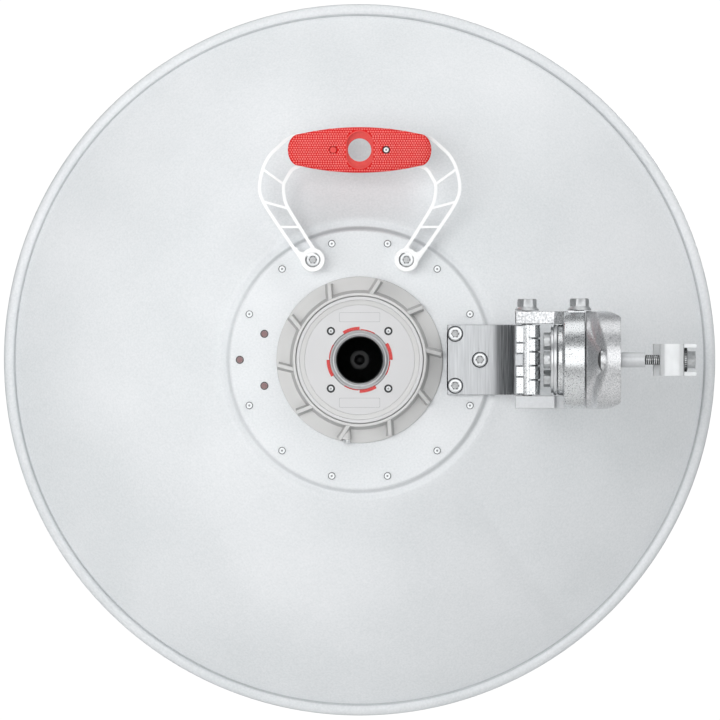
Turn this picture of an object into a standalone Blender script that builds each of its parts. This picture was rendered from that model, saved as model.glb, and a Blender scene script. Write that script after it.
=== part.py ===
"""A 0.55 m dish antenna with its feed, its carrying handle and its two-axis pole bracket.

The origin is the middle of the pole seat, the flat at the bottom of the pole jaw's notch. +X runs from the
dish towards the pole, +Y is the way the dish looks, and +Z runs up the pole.
"""

import math

import bmesh
import bpy
from mathutils import Matrix

MM = 0.001
GAP = 0.3 * MM

# Where the dish and the two pivots lie, from the pole seat
DISH_CENTRE = (-186 * MM, 60 * MM, 0)
AZIMUTH_X = -57.5 * MM

# Reflector
DISH_RADIUS = 275 * MM
FOCAL_LENGTH = 150 * MM
SHEET = 2.2 * MM
BEAD_RADIUS = 4.9 * MM
HUB_HOLE = 32 * MM
HUB_RADIUS = 101 * MM
STEP_RADIUS = 105 * MM
STEP_RISE = 4 * MM
ARM_SCREWS = ((73.5 * MM, 20 * MM), (92.5 * MM, 0), (73.5 * MM, -20 * MM))
SCREW_HOLE = 3.3 * MM
STIFFENER_RADIUS = 97 * MM
STIFFENER_THICKNESS = 4 * MM
BLIND_FLOOR = 0.8 * MM

# Port housing, its face and its lock ring
HOUSING_RADIUS = 64.1 * MM
HOUSING_WALL = 51.2 * MM
HOUSING_DEPTH = 16 * MM
FLOOR_DEPTH = 12.3 * MM
RIBS = 10
RIB_START = math.radians(9.3)
RIB_TILT = math.radians(23)
RIB_WIDTH = 3.2 * MM
RIB_TOP = -15.4 * MM
RIB_TIP = -8 * MM
FACE_RADIUS = 48.7 * MM
FACE_DEPTH = 14.4 * MM
FACE_RIM = 1.2 * MM
FACE_BORE = 25.5 * MM
COLLAR_RADIUS = 22.8 * MM
BORE_RADIUS = 18.2 * MM
LUG_ANGLE = math.radians(30)
EARTH_SCREW = (-10 * MM, -7 * MM, -61.3 * MM)
EARTH_BOSS_TOP = -50 * MM
EARTH_BOSS_RADII = (2.8 * MM, 3.6 * MM)
EARTH_HEAD_RADIUS = 2.6 * MM

# Feed
TUBE_RADIUS = 20 * MM
TUBE_START = -3.1 * MM
TUBE_END = 112 * MM
CONE_TIP = 60 * MM
CONE_TIP_RADIUS = 7.7 * MM
CONE_PLUG = 84 * MM
CONE_RADIUS = 34 * MM
CONE_END = 138 * MM
SUB_RADIUS = 38 * MM
SUB_THICKNESS = 4 * MM

# Carrying handle
HANDLE_BACK = -16 * MM
HANDLE_FRONT = -6 * MM
HANDLE_WALL = 2.4 * MM
BOSS_AT = (36 * MM, 76.9 * MM)
BOSS_RADIUS = 9.3 * MM
GRIP_CENTRE = 161.4 * MM
GRIP_HALF_LENGTH = 55.3 * MM
GRIP_HALF_HEIGHT = 17.7 * MM
GRIP_CORNER = (49 * MM, 13.9 * MM)
GRIP_ROUNDING = 5 * MM
GRIP_BACK = -27 * MM
GRIP_FRONT = 4 * MM
GRIP_HOLE = 9 * MM
RECESS_HALF_WIDTH = 9.9 * MM
RECESS_HALF_HEIGHT = 14.1 * MM
RECESS_DEPTH = 3 * MM
BAR_HALF_LENGTH = 50 * MM
BAR_HALF_HEIGHT = 10.5 * MM
# Corners of the handle's arm in millimetres, from its boss up, and its end inside the grip
ARM_OUTSIDE = (
    (45.7, 78.8), (61.6, 102.4), (73.9, 121.1), (77, 132.6), (74.5, 146.6), (69.4, 156.9), (61.6, 164.6)
)
ARM_INSIDE = ((36.1, 86.4), (46.3, 102.4), (55.3, 117.2), (58.2, 127), (58.5, 135.1), (52, 149.3))
ARM_END = ((52, 170.5), (46, 170.5), (46, 151))

# Side arm, from the dish's centre
ARM_LEFT = 67.5 * MM
ARM_BEND = 100 * MM
ARM_RIGHT = 118.5 * MM
ARM_WALL = 5 * MM
ARM_HALF_HEIGHT = 27 * MM
BARREL_RADIUS = 10.2 * MM
BARREL_HALF_HEIGHT = 26.8 * MM
BARREL_BORE = 4.5 * MM
GROOVES = (16.6 * MM, 6.1 * MM, -4.5 * MM, -15.4 * MM)
GROOVE_WIDTH = 1.5 * MM
GROOVE_DEPTH = 1.7 * MM

# Bolts
BOLT_RADIUS = 4 * MM
BOLT_HOLE = 4.3 * MM
HEX_RADIUS = 7.5 * MM
FLANGE_RADIUS = 9.1 * MM
FLANGE_THICKNESS = 3.1 * MM
HEAD_HEIGHT = 9.1 * MM
CAP_RADIUS = 5.15 * MM
CAP_HEIGHT = 6 * MM
CAP_SHAFT = 3 * MM
KEY_RADIUS = 2.9 * MM

# Yoke
RING_RADIUS = 37.5 * MM
RING_LEFT = -29.6 * MM
RING_RIGHT = -12.9 * MM
COLLAR_RING = 27 * MM
COLLAR_LEFT = -34.3 * MM
SPIGOT_BORE = 21.4 * MM
EAR_LOW = 27.6 * MM
EAR_HIGH = 37.4 * MM
EAR_RADIUS = 8.7 * MM
EAR_END = -36.2 * MM
NECK_HALF_WIDTH = 6 * MM
LOCK_X = -17.3 * MM
LOCK_SHAFT = 3.4 * MM
LOCK_SEAT = 37.7 * MM

# Pole jaw
SPIGOT_RADIUS = 21 * MM
DRUM_RADIUS = 37.2 * MM
DRUM_LEFT = -12.5 * MM
WEB_LEFT = -11.5 * MM
WEB_RIGHT = -8 * MM
BOLT_Y = 41 * MM
LUG_RADIUS = 11.2 * MM
LUG_LEFT = -4.5 * MM
POCKET_RADIUS = 9.7 * MM
POCKET_RIGHT = 0.9 * MM
BAR_LEFT = 1.4 * MM
JAW_ROUND_Y = 16 * MM
JAW_RADIUS = 37.6 * MM
JAW_END = 14.4 * MM
JAW_CORNERS = ((13.1 * MM, 33.5 * MM), (JAW_END, 28 * MM))
SEAT_HALF_WIDTH = 6 * MM
NOTCH_HALF_WIDTH = 31 * MM
RETAINER_LEFT = -37.1 * MM
RETAINER_RIGHT = -34.7 * MM
RETAINER_RADIUS = 27 * MM
RETAINER_BOLTS = 6
RETAINER_CIRCLE = 16.5 * MM
SMALL_HEX = 6.6 * MM
SMALL_HEX_LEFT = -46.5 * MM
WASHER_RADIUS = 7.2 * MM
WASHER_LEFT = -39.8 * MM

# Moving jaw
SLEEVE_END = 32.7 * MM
SLEEVE_RADIUS = 5.8 * MM
CLAW_TIP = 39.3 * MM
CLAW_BASE = 43.8 * MM
CLAW_NOTCH = 52 * MM
CLAW_NOTCH_Y = (8 * MM, 28 * MM, 32 * MM, 34 * MM)
CHANNEL_HALF_LENGTH = 49 * MM
CHANNEL_FLOOR = 62.7 * MM
CLAW_END = 72.2 * MM
CLAW_HALF_WIDTH = 53 * MM
CLAW_HALF_HEIGHT = 12.3 * MM
CHANNEL_HALF_HEIGHT = 9.4 * MM

ROUND = 48
DISH_FACETS = 60
MIDDLE = 32
SMALL = 16


def clear_scene():
    for thing in list(bpy.data.objects):
        bpy.data.objects.remove(thing)


def material(name, colour, roughness, metallic=0.0):
    made = bpy.data.materials.new(name)
    made.use_nodes = True
    shader = made.node_tree.nodes["Principled BSDF"]
    shader.inputs["Base Color"].default_value = (*colour, 1)
    shader.inputs["Roughness"].default_value = roughness
    shader.inputs["Metallic"].default_value = metallic
    return made


def empty(name, at, parent=None):
    made = bpy.data.objects.new(name, None)
    bpy.context.collection.objects.link(made)
    made.parent = parent
    made.location = at
    return made


def solid(name, shape):
    """The bmesh as an object whose faces point outwards."""
    bmesh.ops.remove_doubles(shape, verts=shape.verts, dist=MM / 1000)
    bmesh.ops.recalc_face_normals(shape, faces=shape.faces)
    mesh = bpy.data.meshes.new(name)
    shape.to_mesh(mesh)
    shape.free()
    made = bpy.data.objects.new(name, mesh)
    bpy.context.collection.objects.link(made)
    return made


def along(axis, u, v, distance):
    """The point at (u, v) across the axis and at this distance along it."""
    return {"X": (distance, u, v), "Y": (u, distance, v), "Z": (u, v, distance)}[axis]


def circle(radius, count, centre=(0, 0), start=0.0):
    turns = [start + math.tau * i / count for i in range(count)]
    return [(centre[0] + radius * math.cos(t), centre[1] + radius * math.sin(t)) for t in turns]


def arc(centre, radius, first, last, steps):
    turns = [math.radians(first + (last - first) * i / steps) for i in range(steps + 1)]
    return [(centre[0] + radius * math.cos(t), centre[1] + radius * math.sin(t)) for t in turns]


def rectangle(corner, opposite):
    (left, low), (right, high) = corner, opposite
    return [(left, low), (right, low), (right, high), (left, high)]


def mirrored(half):
    """The outline whose first half, above the first coordinate's axis, is given."""
    return half + [(u, -v) for u, v in half[::-1]]


def prism(outline, axis, low, high, name="prism"):
    """The outline, given across the axis, extruded from low to high."""
    shape = bmesh.new()
    face = shape.faces.new([shape.verts.new(along(axis, u, v, low)) for u, v in outline])
    sides = bmesh.ops.extrude_face_region(shape, geom=[face])["geom"]
    moved = [v for v in sides if isinstance(v, bmesh.types.BMVert)]
    bmesh.ops.translate(shape, verts=moved, vec=along(axis, 0, 0, high - low))
    return solid(name, shape)


def rod(radius, axis, low, high, centre=(0, 0), count=SMALL, name="rod"):
    return prism(circle(radius, count, centre, math.pi / count), axis, low, high, name)


def turned(outline, axis, count, centre=(0, 0), name="turned"):
    """A closed outline of (radius, distance along the axis) points, spun a full turn."""
    shape = bmesh.new()
    corners = [shape.verts.new((radius, distance, 0)) for radius, distance in outline]
    edges = [shape.edges.new((corners[i - 1], corners[i])) for i in range(len(corners))]
    geometry = corners + edges
    bmesh.ops.spin(
        shape, geom=geometry, axis=(0, 1, 0), cent=(0, 0, 0), angle=math.tau, steps=count, use_merge=True
    )
    turn = {
        "X": Matrix.Rotation(-math.pi / 2, 4, "Z"),
        "Y": Matrix.Identity(4),
        "Z": Matrix.Rotation(math.pi / 2, 4, "X"),
    }[axis]
    shape.transform(Matrix.Translation(along(axis, *centre, 0)) @ turn)
    return solid(name, shape)


def boolean(target, operation, *tools):
    """Cuts the tools from the target, or unites them with it, and removes them."""
    for tool in tools:
        step = target.modifiers.new(operation, "BOOLEAN")
        step.operation = operation
        step.solver = "EXACT"
        step.object = tool
        graph = bpy.context.evaluated_depsgraph_get()
        result = bpy.data.meshes.new_from_object(target.evaluated_get(graph))
        target.modifiers.clear()
        target.data = result
        bpy.data.objects.remove(tool)
    return target


def finish(piece, name, parent, finish_material, sharp=30):
    """Names the piece, hangs it on its joint's empty and shades its round faces smooth."""
    piece.name = piece.data.name = name
    piece.parent = parent
    piece.data.materials.clear()
    piece.data.materials.append(finish_material)
    piece.data.shade_smooth()
    piece.data.set_sharp_from_angle(angle=math.radians(sharp))
    return piece


def back_of_dish(radius):
    """How far the back of the sheet lies in front of the hub's flat."""
    return STEP_RISE + (radius**2 - STEP_RADIUS**2) / (4 * FOCAL_LENGTH)


def make_reflector(parent, finish_material):
    bead_centre = DISH_RADIUS - BEAD_RADIUS
    bead_along = back_of_dish(bead_centre) + SHEET / 2
    sheet_end = bead_centre - 1.1 * BEAD_RADIUS
    steps = 6
    radii = [STEP_RADIUS + (sheet_end - STEP_RADIUS) * i / steps for i in range(1, steps + 1)]
    back = [(HUB_HOLE, 0), (HUB_RADIUS, 0), (STEP_RADIUS, STEP_RISE)] + [(r, back_of_dish(r)) for r in radii]
    bead = arc((bead_centre, bead_along), BEAD_RADIUS, 225, 495, 6)
    front = [(radius, distance + SHEET) for radius, distance in reversed(back)]
    dish = turned(back + bead + front, "Y", DISH_FACETS)
    holes = [(side * x, z) for x, z in ARM_SCREWS for side in (1, -1)]
    cutters = [rod(SCREW_HOLE, "Y", -SHEET, 2 * SHEET, at, count=8) for at in holes]
    return finish(boolean(dish, "DIFFERENCE", *cutters), "reflector", parent, finish_material)


def make_stiffener(parent, finish_material):
    back = SHEET + GAP
    front = back + STIFFENER_THICKNESS
    bore = TUBE_RADIUS + 2 * GAP
    plate = turned(rectangle((bore, back), (STIFFENER_RADIUS, front)), "Y", MIDDLE)
    holes = [(side * x, z) for x, z in ARM_SCREWS for side in (1, -1)]
    cutters = [rod(SCREW_HOLE, "Y", 0, front - BLIND_FLOOR, at, count=8) for at in holes]
    return finish(boolean(plate, "DIFFERENCE", *cutters), "hub_stiffener", parent, finish_material)


def make_housing(parent, finish_material):
    seat = -GAP
    bore = COLLAR_RADIUS + GAP
    skirt_edge = -2.5 * MM
    pocket_top = -9.5 * MM
    wall_inside = FACE_RADIUS + 2 * GAP
    profile = [
        (bore, seat),
        (HOUSING_RADIUS, seat),
        (HOUSING_RADIUS, skirt_edge),
        (HOUSING_WALL + 1.5 * MM, pocket_top),
        (HOUSING_WALL, -HOUSING_DEPTH),
        (wall_inside, -HOUSING_DEPTH),
        (wall_inside, -FLOOR_DEPTH),
        (bore, -FLOOR_DEPTH),
    ]
    housing = turned(profile, "Y", MIDDLE)
    root = HOUSING_WALL - MM
    reach = (HOUSING_RADIUS - GAP - root) / math.cos(RIB_TILT)
    side = [(0, seat - MM), (0, RIB_TOP), (reach, RIB_TIP), (reach, seat - MM)]
    for i in range(RIBS):
        rib = prism(side, "Z", -RIB_WIDTH / 2, RIB_WIDTH / 2)
        # +X of the rib runs outwards, and its azimuth is counted clockwise from straight up
        out = math.pi / 2 - RIB_START - math.tau * i / RIBS
        lean = Matrix.Translation((root, 0, 0)) @ Matrix.Rotation(RIB_TILT, 4, "Y")
        rib.data.transform(Matrix.Rotation(-out, 4, "Y") @ lean)
        boolean(housing, "UNION", rib)
    x, y, z = EARTH_SCREW
    thin, thick = EARTH_BOSS_RADII
    boss = turned([(0, EARTH_BOSS_TOP), (0, z), (thick, z), (thin, EARTH_BOSS_TOP)], "Z", SMALL, (x, y))
    boolean(housing, "UNION", boss)
    return finish(housing, "port_housing", parent, finish_material)


def make_port_face(parent, finish_material):
    back = -FLOOR_DEPTH - GAP
    slope_inner = 42.2 * MM
    slope_outer = 45.5 * MM
    rim = -FACE_DEPTH - FACE_RIM
    profile = [
        (FACE_BORE, back),
        (FACE_RADIUS, back),
        (FACE_RADIUS, rim),
        (slope_outer, rim),
        (slope_inner, -FACE_DEPTH),
        (FACE_BORE, -FACE_DEPTH),
    ]
    return finish(turned(profile, "Y", MIDDLE), "port_face", parent, finish_material)


def make_lock_ring(parent, finish_material):
    inner = COLLAR_RADIUS + GAP
    outer = FACE_BORE - GAP
    base = -FLOOR_DEPTH - GAP
    top = base - 0.7 * MM
    ring = turned(rectangle((inner, base), (outer, top)), "Y", MIDDLE)
    for i in range(4):
        first = 90 - 90 * i
        last = first + math.degrees(LUG_ANGLE)
        inside = arc((0, 0), inner + 0.05 * MM, last, first, 4)
        outside = arc((0, 0), outer - 0.05 * MM, first, last, 4)
        lug = prism(outside + inside, "Y", base - 0.3 * MM, -FACE_DEPTH)
        boolean(ring, "UNION", lug)
    return finish(ring, "lock_ring", parent, finish_material)


def make_collar(parent, finish_material):
    front = TUBE_START - GAP
    lip, lip_inside = -13.8 * MM, COLLAR_RADIUS - 0.8 * MM
    shelf, shelf_outside = -12.2 * MM, 20.4 * MM
    profile = [
        (BORE_RADIUS, front),
        (COLLAR_RADIUS, front),
        (COLLAR_RADIUS, lip),
        (lip_inside, lip),
        (shelf_outside, shelf),
        (BORE_RADIUS, shelf),
    ]
    return finish(turned(profile, "Y", MIDDLE), "port_collar", parent, finish_material)


def make_feed(parent, tube_material, cone_material, plate_material):
    tube = turned(rectangle((BORE_RADIUS, TUBE_START), (TUBE_RADIUS, TUBE_END)), "Y", MIDDLE)
    finish(tube, "feed_tube", parent, tube_material)
    neck = TUBE_END + GAP
    cone_profile = [
        (0, CONE_TIP),
        (CONE_TIP_RADIUS, CONE_TIP),
        (BORE_RADIUS - GAP, CONE_PLUG),
        (BORE_RADIUS - GAP, neck),
        (TUBE_RADIUS + 2 * MM, neck),
        (CONE_RADIUS, CONE_END),
        (0, CONE_END),
    ]
    finish(turned(cone_profile, "Y", 24), "feed_cone", parent, cone_material)
    back = CONE_END + GAP
    plate = [
        (0, back),
        (SUB_RADIUS, back),
        (SUB_RADIUS, back + SUB_THICKNESS / 2),
        (SUB_RADIUS - 2 * MM, back + SUB_THICKNESS),
        (0, back + SUB_THICKNESS),
    ]
    finish(turned(plate, "Y", MIDDLE), "sub_reflector", parent, plate_material)


def make_earth_screw(parent, finish_material):
    x, y, z = EARTH_SCREW
    seat = z - GAP
    edge, top = seat - 1.4 * MM, seat - EARTH_HEAD_RADIUS
    crown = EARTH_HEAD_RADIUS - MM
    profile = [(0, seat), (EARTH_HEAD_RADIUS, seat), (EARTH_HEAD_RADIUS, edge), (crown, top), (0, top)]
    return finish(turned(profile, "Z", SMALL, (x, y)), "earth_screw", parent, finish_material)


def shrink(corners, distances):
    """The outline with each side, from a corner to the next, moved inwards by its own distance."""
    lines = []
    count = len(corners)
    area = sum(corners[i - 1][0] * corners[i][1] - corners[i][0] * corners[i - 1][1] for i in range(count))
    for i in range(count):
        (ax, ay), (bx, by) = corners[i], corners[(i + 1) % count]
        length = math.hypot(bx - ax, by - ay)
        inward = math.copysign(1, area)
        nx, ny = -(by - ay) / length * inward, (bx - ax) / length * inward
        lines.append((nx, ny, nx * ax + ny * ay + distances[i]))
    made = []
    for i in range(count):
        (a, b, c), (d, e, f) = lines[i - 1], lines[i]
        scale = a * e - b * d
        made.append(((c * e - b * f) / scale, (a * f - c * d) / scale))
    return made


def handle_arm(side):
    """One open arm of the handle, from its boss to the grip, with the windows cut between its ribs."""
    lines = (ARM_OUTSIDE, ARM_INSIDE, ARM_END)
    outer, inner, end = ([(side * x * MM, z * MM) for x, z in line] for line in lines)
    arm = prism(outer + end + inner[::-1], "Y", HANDLE_BACK, HANDLE_FRONT)
    wall, rib = HANDLE_WALL, HANDLE_WALL / 2
    cells = [
        (outer[0:2] + inner[1::-1], (wall, rib, wall, wall)),
        (outer[1:3] + inner[2:0:-1], (wall, rib, wall, rib)),
        (outer[2:5] + inner[4:1:-1], (wall, wall, rib, wall, wall, rib)),
        (outer[4:7] + end[0:1] + inner[5:3:-1], (wall, wall, wall, wall, wall, rib)),
    ]
    for corners, distances in cells:
        window = shrink(corners, distances)
        boolean(arm, "DIFFERENCE", prism(window, "Y", HANDLE_BACK - MM, HANDLE_FRONT + MM))
    return arm


def make_handle(parent, finish_material, screw_material):
    top, bottom = GRIP_CENTRE + BAR_HALF_HEIGHT - 1.8 * MM, GRIP_CENTRE - BAR_HALF_HEIGHT + GAP
    outline = rectangle((-BAR_HALF_LENGTH, bottom), (BAR_HALF_LENGTH, top))
    bar = prism(outline, "Y", HANDLE_BACK, HANDLE_FRONT)
    frame = boolean(bar, "UNION", handle_arm(1), handle_arm(-1))
    x, z = BOSS_AT
    counterbore = HANDLE_BACK + 4 * MM
    head = CAP_HEIGHT - 2.6 * MM
    for side, name in ((-1, "handle_screw_left"), (1, "handle_screw_right")):
        at = (side * x, z)
        boolean(frame, "UNION", rod(BOSS_RADIUS, "Y", HANDLE_BACK - 0.4 * MM, -GAP, at, count=24))
        pocket = rod(CAP_RADIUS + 2 * GAP, "Y", HANDLE_BACK - MM, counterbore, at)
        shaft = rod(SCREW_HOLE, "Y", HANDLE_BACK, MM, at, count=12)
        boolean(frame, "DIFFERENCE", pocket, shaft)
        cap_screw(name, parent, screw_material, at, counterbore - GAP, head, -2 * GAP)
    sight = rod(GRIP_HOLE + GAP, "Y", HANDLE_BACK - MM, HANDLE_FRONT + MM, (0, GRIP_CENTRE), 24)
    finish(boolean(frame, "DIFFERENCE", sight), "handle_frame", parent, finish_material)


def cap_screw(name, parent, finish_material, at, seat, head, end):
    """A socket head screw along Y: its head's underside at seat, its shaft reaching to end."""
    top, chamfer = seat - head, MM / 2
    profile = [
        (0, end),
        (CAP_SHAFT, end),
        (CAP_SHAFT, seat),
        (CAP_RADIUS, seat),
        (CAP_RADIUS, top + chamfer),
        (CAP_RADIUS - chamfer, top),
        (0, top),
    ]
    screw = turned(profile, "Y", SMALL, at)
    key = prism(circle(KEY_RADIUS, 6, at), "Y", top - MM, top + 0.6 * head)
    return finish(boolean(screw, "DIFFERENCE", key), name, parent, finish_material)


def grip_half(name, parent, finish_material, split, end):
    """One moulded half of the grip, from the split plane to its far face, hollow for the handle's bar."""
    corner_x, corner_z = GRIP_CORNER
    quarter = [
        (GRIP_HALF_LENGTH, 0),
        (GRIP_HALF_LENGTH - 1.2 * MM, corner_z / 2),
        (corner_x, corner_z),
        (0.6 * corner_x, 0.95 * GRIP_HALF_HEIGHT),
    ]
    right = quarter + [(0, GRIP_HALF_HEIGHT)]
    upper = right + [(-x, z) for x, z in quarter[::-1]]
    lower = [(x, -z) for x, z in upper[-2:0:-1]]
    outline = [(x, GRIP_CENTRE + z) for x, z in upper + lower]
    half = prism(outline, "Y", split, end)
    shape = bmesh.new()
    shape.from_mesh(half.data)
    rim = [edge for edge in shape.edges if all(abs(v.co.y - end) < MM / 10 for v in edge.verts)]
    bmesh.ops.bevel(shape, geom=rim, offset=GRIP_ROUNDING, segments=3, profile=0.5, affect="EDGES")
    shape.to_mesh(half.data)
    shape.free()
    reach = 2 * GRIP_HALF_LENGTH
    low, high = GRIP_CENTRE - BAR_HALF_HEIGHT - 2 * MM, GRIP_CENTRE + BAR_HALF_HEIGHT
    deep = HANDLE_BACK - GAP if end < split else HANDLE_FRONT + GAP
    past = split - math.copysign(MM, end - split)
    slot = prism(rectangle((-reach, low), (reach, high)), "Y", min(deep, past), max(deep, past))
    sight = rod(GRIP_HOLE, "Y", GRIP_BACK - MM, GRIP_FRONT + MM, (0, GRIP_CENTRE), 24)
    width, height = RECESS_HALF_WIDTH, RECESS_HALF_HEIGHT - RECESS_HALF_WIDTH
    above, below = (0, GRIP_CENTRE + height), (0, GRIP_CENTRE - height)
    stadium = arc(above, width, 0, 180, 8) + arc(below, width, 180, 360, 8)
    sunk = end + math.copysign(RECESS_DEPTH, split - end)
    past_end = end - math.copysign(MM, split - end)
    boolean(half, "DIFFERENCE", slot, sight, prism(stadium, "Y", min(sunk, past_end), max(sunk, past_end)))
    return finish(half, name, parent, finish_material)


def make_side_arm(parent, finish_material):
    pivot = (AZIMUTH_X - DISH_CENTRE[0], -DISH_CENTRE[1])
    back = -GAP
    bend_radius = ARM_RIGHT - ARM_BEND
    middle = (ARM_BEND, back - ARM_WALL - bend_radius)
    outline = (
        [(ARM_LEFT, back), (ARM_LEFT, back - ARM_WALL)]
        + arc(middle, bend_radius, 90, 0, 6)
        + [(ARM_RIGHT, pivot[1]), (ARM_RIGHT + ARM_WALL, pivot[1])]
        + arc(middle, bend_radius + ARM_WALL, 0, 90, 6)
    )
    arm = prism(outline, "Z", -ARM_HALF_HEIGHT, ARM_HALF_HEIGHT)
    profile = [(0, -BARREL_HALF_HEIGHT), (BARREL_RADIUS, -BARREL_HALF_HEIGHT)]
    for middle_z in sorted(GROOVES):
        low, high = middle_z - GROOVE_WIDTH / 2, middle_z + GROOVE_WIDTH / 2
        floor = BARREL_RADIUS - GROOVE_DEPTH
        profile += [(BARREL_RADIUS, low), (floor, low), (floor, high), (BARREL_RADIUS, high)]
    profile += [(BARREL_RADIUS, BARREL_HALF_HEIGHT), (0, BARREL_HALF_HEIGHT)]
    boolean(arm, "UNION", turned(profile, "Z", 20, pivot))
    boolean(arm, "DIFFERENCE", rod(BARREL_BORE, "Z", -2 * ARM_HALF_HEIGHT, 2 * ARM_HALF_HEIGHT, pivot))
    for x, z in ARM_SCREWS:
        boolean(arm, "DIFFERENCE", rod(SCREW_HOLE, "Y", back - 2 * ARM_WALL, MM, (x, z), count=12))
    return finish(arm, "side_arm", parent, finish_material)


def flange_bolt(name, parent, finish_material, at, seat, end, shaft):
    """An upright hexagon bolt with a flange: the flange's underside at seat, its shaft down to end."""
    flange_top = seat + FLANGE_THICKNESS
    profile = [
        (0, end),
        (shaft, end),
        (shaft, seat),
        (FLANGE_RADIUS, seat),
        (FLANGE_RADIUS, seat + 1.2 * MM),
        (HEX_RADIUS, flange_top),
        (0, flange_top),
    ]
    bolt = turned(profile, "Z", SMALL, at)
    head = prism(circle(HEX_RADIUS, 6, at), "Z", seat + MM, seat + HEAD_HEIGHT)
    return finish(boolean(bolt, "UNION", head), name, parent, finish_material)


def make_yoke(parent, finish_material):
    profile = [
        (SPIGOT_BORE, COLLAR_LEFT),
        (COLLAR_RING, COLLAR_LEFT),
        (COLLAR_RING, RING_LEFT),
        (RING_RADIUS - 2 * MM, RING_LEFT),
        (RING_RADIUS, RING_LEFT + 2.5 * MM),
        (RING_RADIUS, RING_RIGHT),
        (SPIGOT_BORE, RING_RIGHT),
    ]
    yoke = turned(profile, "X", 40)
    root = RING_LEFT + 3 * MM
    half = [(EAR_END, EAR_RADIUS), (EAR_END, NECK_HALF_WIDTH), (root, EAR_RADIUS)]
    ear = arc((AZIMUTH_X, 0), EAR_RADIUS, 270, 90, 8) + mirrored(half)
    for side in (1, -1):
        low, high = sorted((side * EAR_LOW, side * EAR_HIGH))
        boolean(yoke, "UNION", prism(ear, "Z", low, high))
    left, right, half = LOCK_X - FLANGE_RADIUS, RING_RIGHT - 0.2 * MM, FLANGE_RADIUS - MM
    pad = prism(rectangle((left, -half), (right, half)), "Z", RING_RADIUS - 4 * MM, LOCK_SEAT)
    boolean(yoke, "UNION", pad)
    pivot_hole = rod(BOLT_HOLE, "Z", -2 * EAR_HIGH, 2 * EAR_HIGH, (AZIMUTH_X, 0))
    lock_hole = rod(LOCK_SHAFT + GAP, "Z", 0, 2 * EAR_HIGH, (LOCK_X, 0))
    boolean(yoke, "DIFFERENCE", pivot_hole, lock_hole)
    return finish(yoke, "yoke", parent, finish_material)


def make_webs():
    """The two webs that run from the round drum out to the bolt lugs, as one hull."""
    shape = bmesh.new()
    for distance in (WEB_LEFT, WEB_RIGHT):
        for u, v in circle(DRUM_RADIUS - GAP, 32):
            shape.verts.new(along("X", u, v, distance))
    for side in (1, -1):
        for distance in (LUG_LEFT, BAR_LEFT + MM):
            for u, v in circle(LUG_RADIUS, SMALL, (side * BOLT_Y, 0)):
                shape.verts.new(along("X", u, v, distance))
    hull = bmesh.ops.convex_hull(shape, input=shape.verts)
    inside = {v for v in hull["geom_interior"] if isinstance(v, bmesh.types.BMVert)}
    bmesh.ops.delete(shape, geom=list(inside), context="VERTS")
    return solid("webs", shape)


def make_pole_jaw(parent, finish_material):
    """A casting: a drum with a spigot, an oval head with the pole's notch, and webs to its bolt lugs."""
    spigot_end = RETAINER_RIGHT + GAP
    profile = [
        (0, spigot_end),
        (SPIGOT_RADIUS, spigot_end),
        (SPIGOT_RADIUS, DRUM_LEFT),
        (DRUM_RADIUS, DRUM_LEFT),
        (DRUM_RADIUS, BAR_LEFT + MM),
        (0, BAR_LEFT + MM),
    ]
    jaw = turned(profile, "X", 40)
    oval = arc((JAW_ROUND_Y, 0), JAW_RADIUS, -90, 90, 12) + arc((-JAW_ROUND_Y, 0), JAW_RADIUS, 90, 270, 12)
    head = prism(oval, "X", BAR_LEFT, JAW_END)
    upper = [(BAR_LEFT - MM, 2 * JAW_RADIUS), (BAR_LEFT + MM, JAW_RADIUS), *JAW_CORNERS]
    boolean(head, "INTERSECT", prism(mirrored(upper), "Y", -2 * JAW_RADIUS, 2 * JAW_RADIUS))
    boolean(jaw, "UNION", make_webs(), head)
    notch_x = JAW_END + 8 * MM
    slope = (NOTCH_HALF_WIDTH - SEAT_HALF_WIDTH) / JAW_END
    half = [(0, SEAT_HALF_WIDTH), (notch_x, SEAT_HALF_WIDTH + slope * notch_x)]
    boolean(jaw, "DIFFERENCE", prism(mirrored(half), "Z", -2 * JAW_RADIUS, 2 * JAW_RADIUS))
    for side in (1, -1):
        at = (side * BOLT_Y, 0)
        pocket = rod(POCKET_RADIUS, "X", LUG_LEFT + MM / 2, POCKET_RIGHT, at)
        left, right, half_height = LUG_LEFT + MM, POCKET_RIGHT - 0.2 * MM, POCKET_RADIUS - 0.4 * MM
        low, high = sorted((side * BOLT_Y, side * (BOLT_Y + 2 * LUG_RADIUS)))
        slot = prism(rectangle((left, -half_height), (right, half_height)), "Y", low, high)
        boolean(jaw, "DIFFERENCE", rod(BOLT_HOLE, "X", 0, 2 * JAW_END, at), pocket, slot)
    return finish(jaw, "pole_jaw", parent, finish_material)


def make_retainer(parent, finish_material):
    plate = turned(rectangle((0, RETAINER_LEFT), (RETAINER_RADIUS, RETAINER_RIGHT)), "X", MIDDLE)
    for i in range(RETAINER_BOLTS):
        at = circle(RETAINER_CIRCLE, RETAINER_BOLTS)[i]
        washer = rod(WASHER_RADIUS, "X", WASHER_LEFT, RETAINER_LEFT + MM / 2, at, count=12)
        head = prism(circle(SMALL_HEX, 6, at, math.pi / 6), "X", SMALL_HEX_LEFT, WASHER_LEFT + MM / 2)
        boolean(plate, "UNION", washer, head)
    return finish(plate, "retainer_flange", parent, finish_material)


def make_clamp_bolt(name, parent, finish_material, at):
    """A flanged bolt along X, its head in the lug's pocket and its threaded end in the nut."""
    seat = POCKET_RIGHT - GAP
    head = seat - 4 * MM
    end = CLAW_END - 0.4 * MM
    flange = seat - 2 * MM
    profile = [
        (0, head),
        (HEX_RADIUS, head),
        (FLANGE_RADIUS, flange),
        (FLANGE_RADIUS, seat),
        (BOLT_RADIUS, seat),
        (BOLT_RADIUS, end),
        (0, end),
    ]
    return finish(turned(profile, "X", SMALL, at), name, parent, finish_material)


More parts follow.
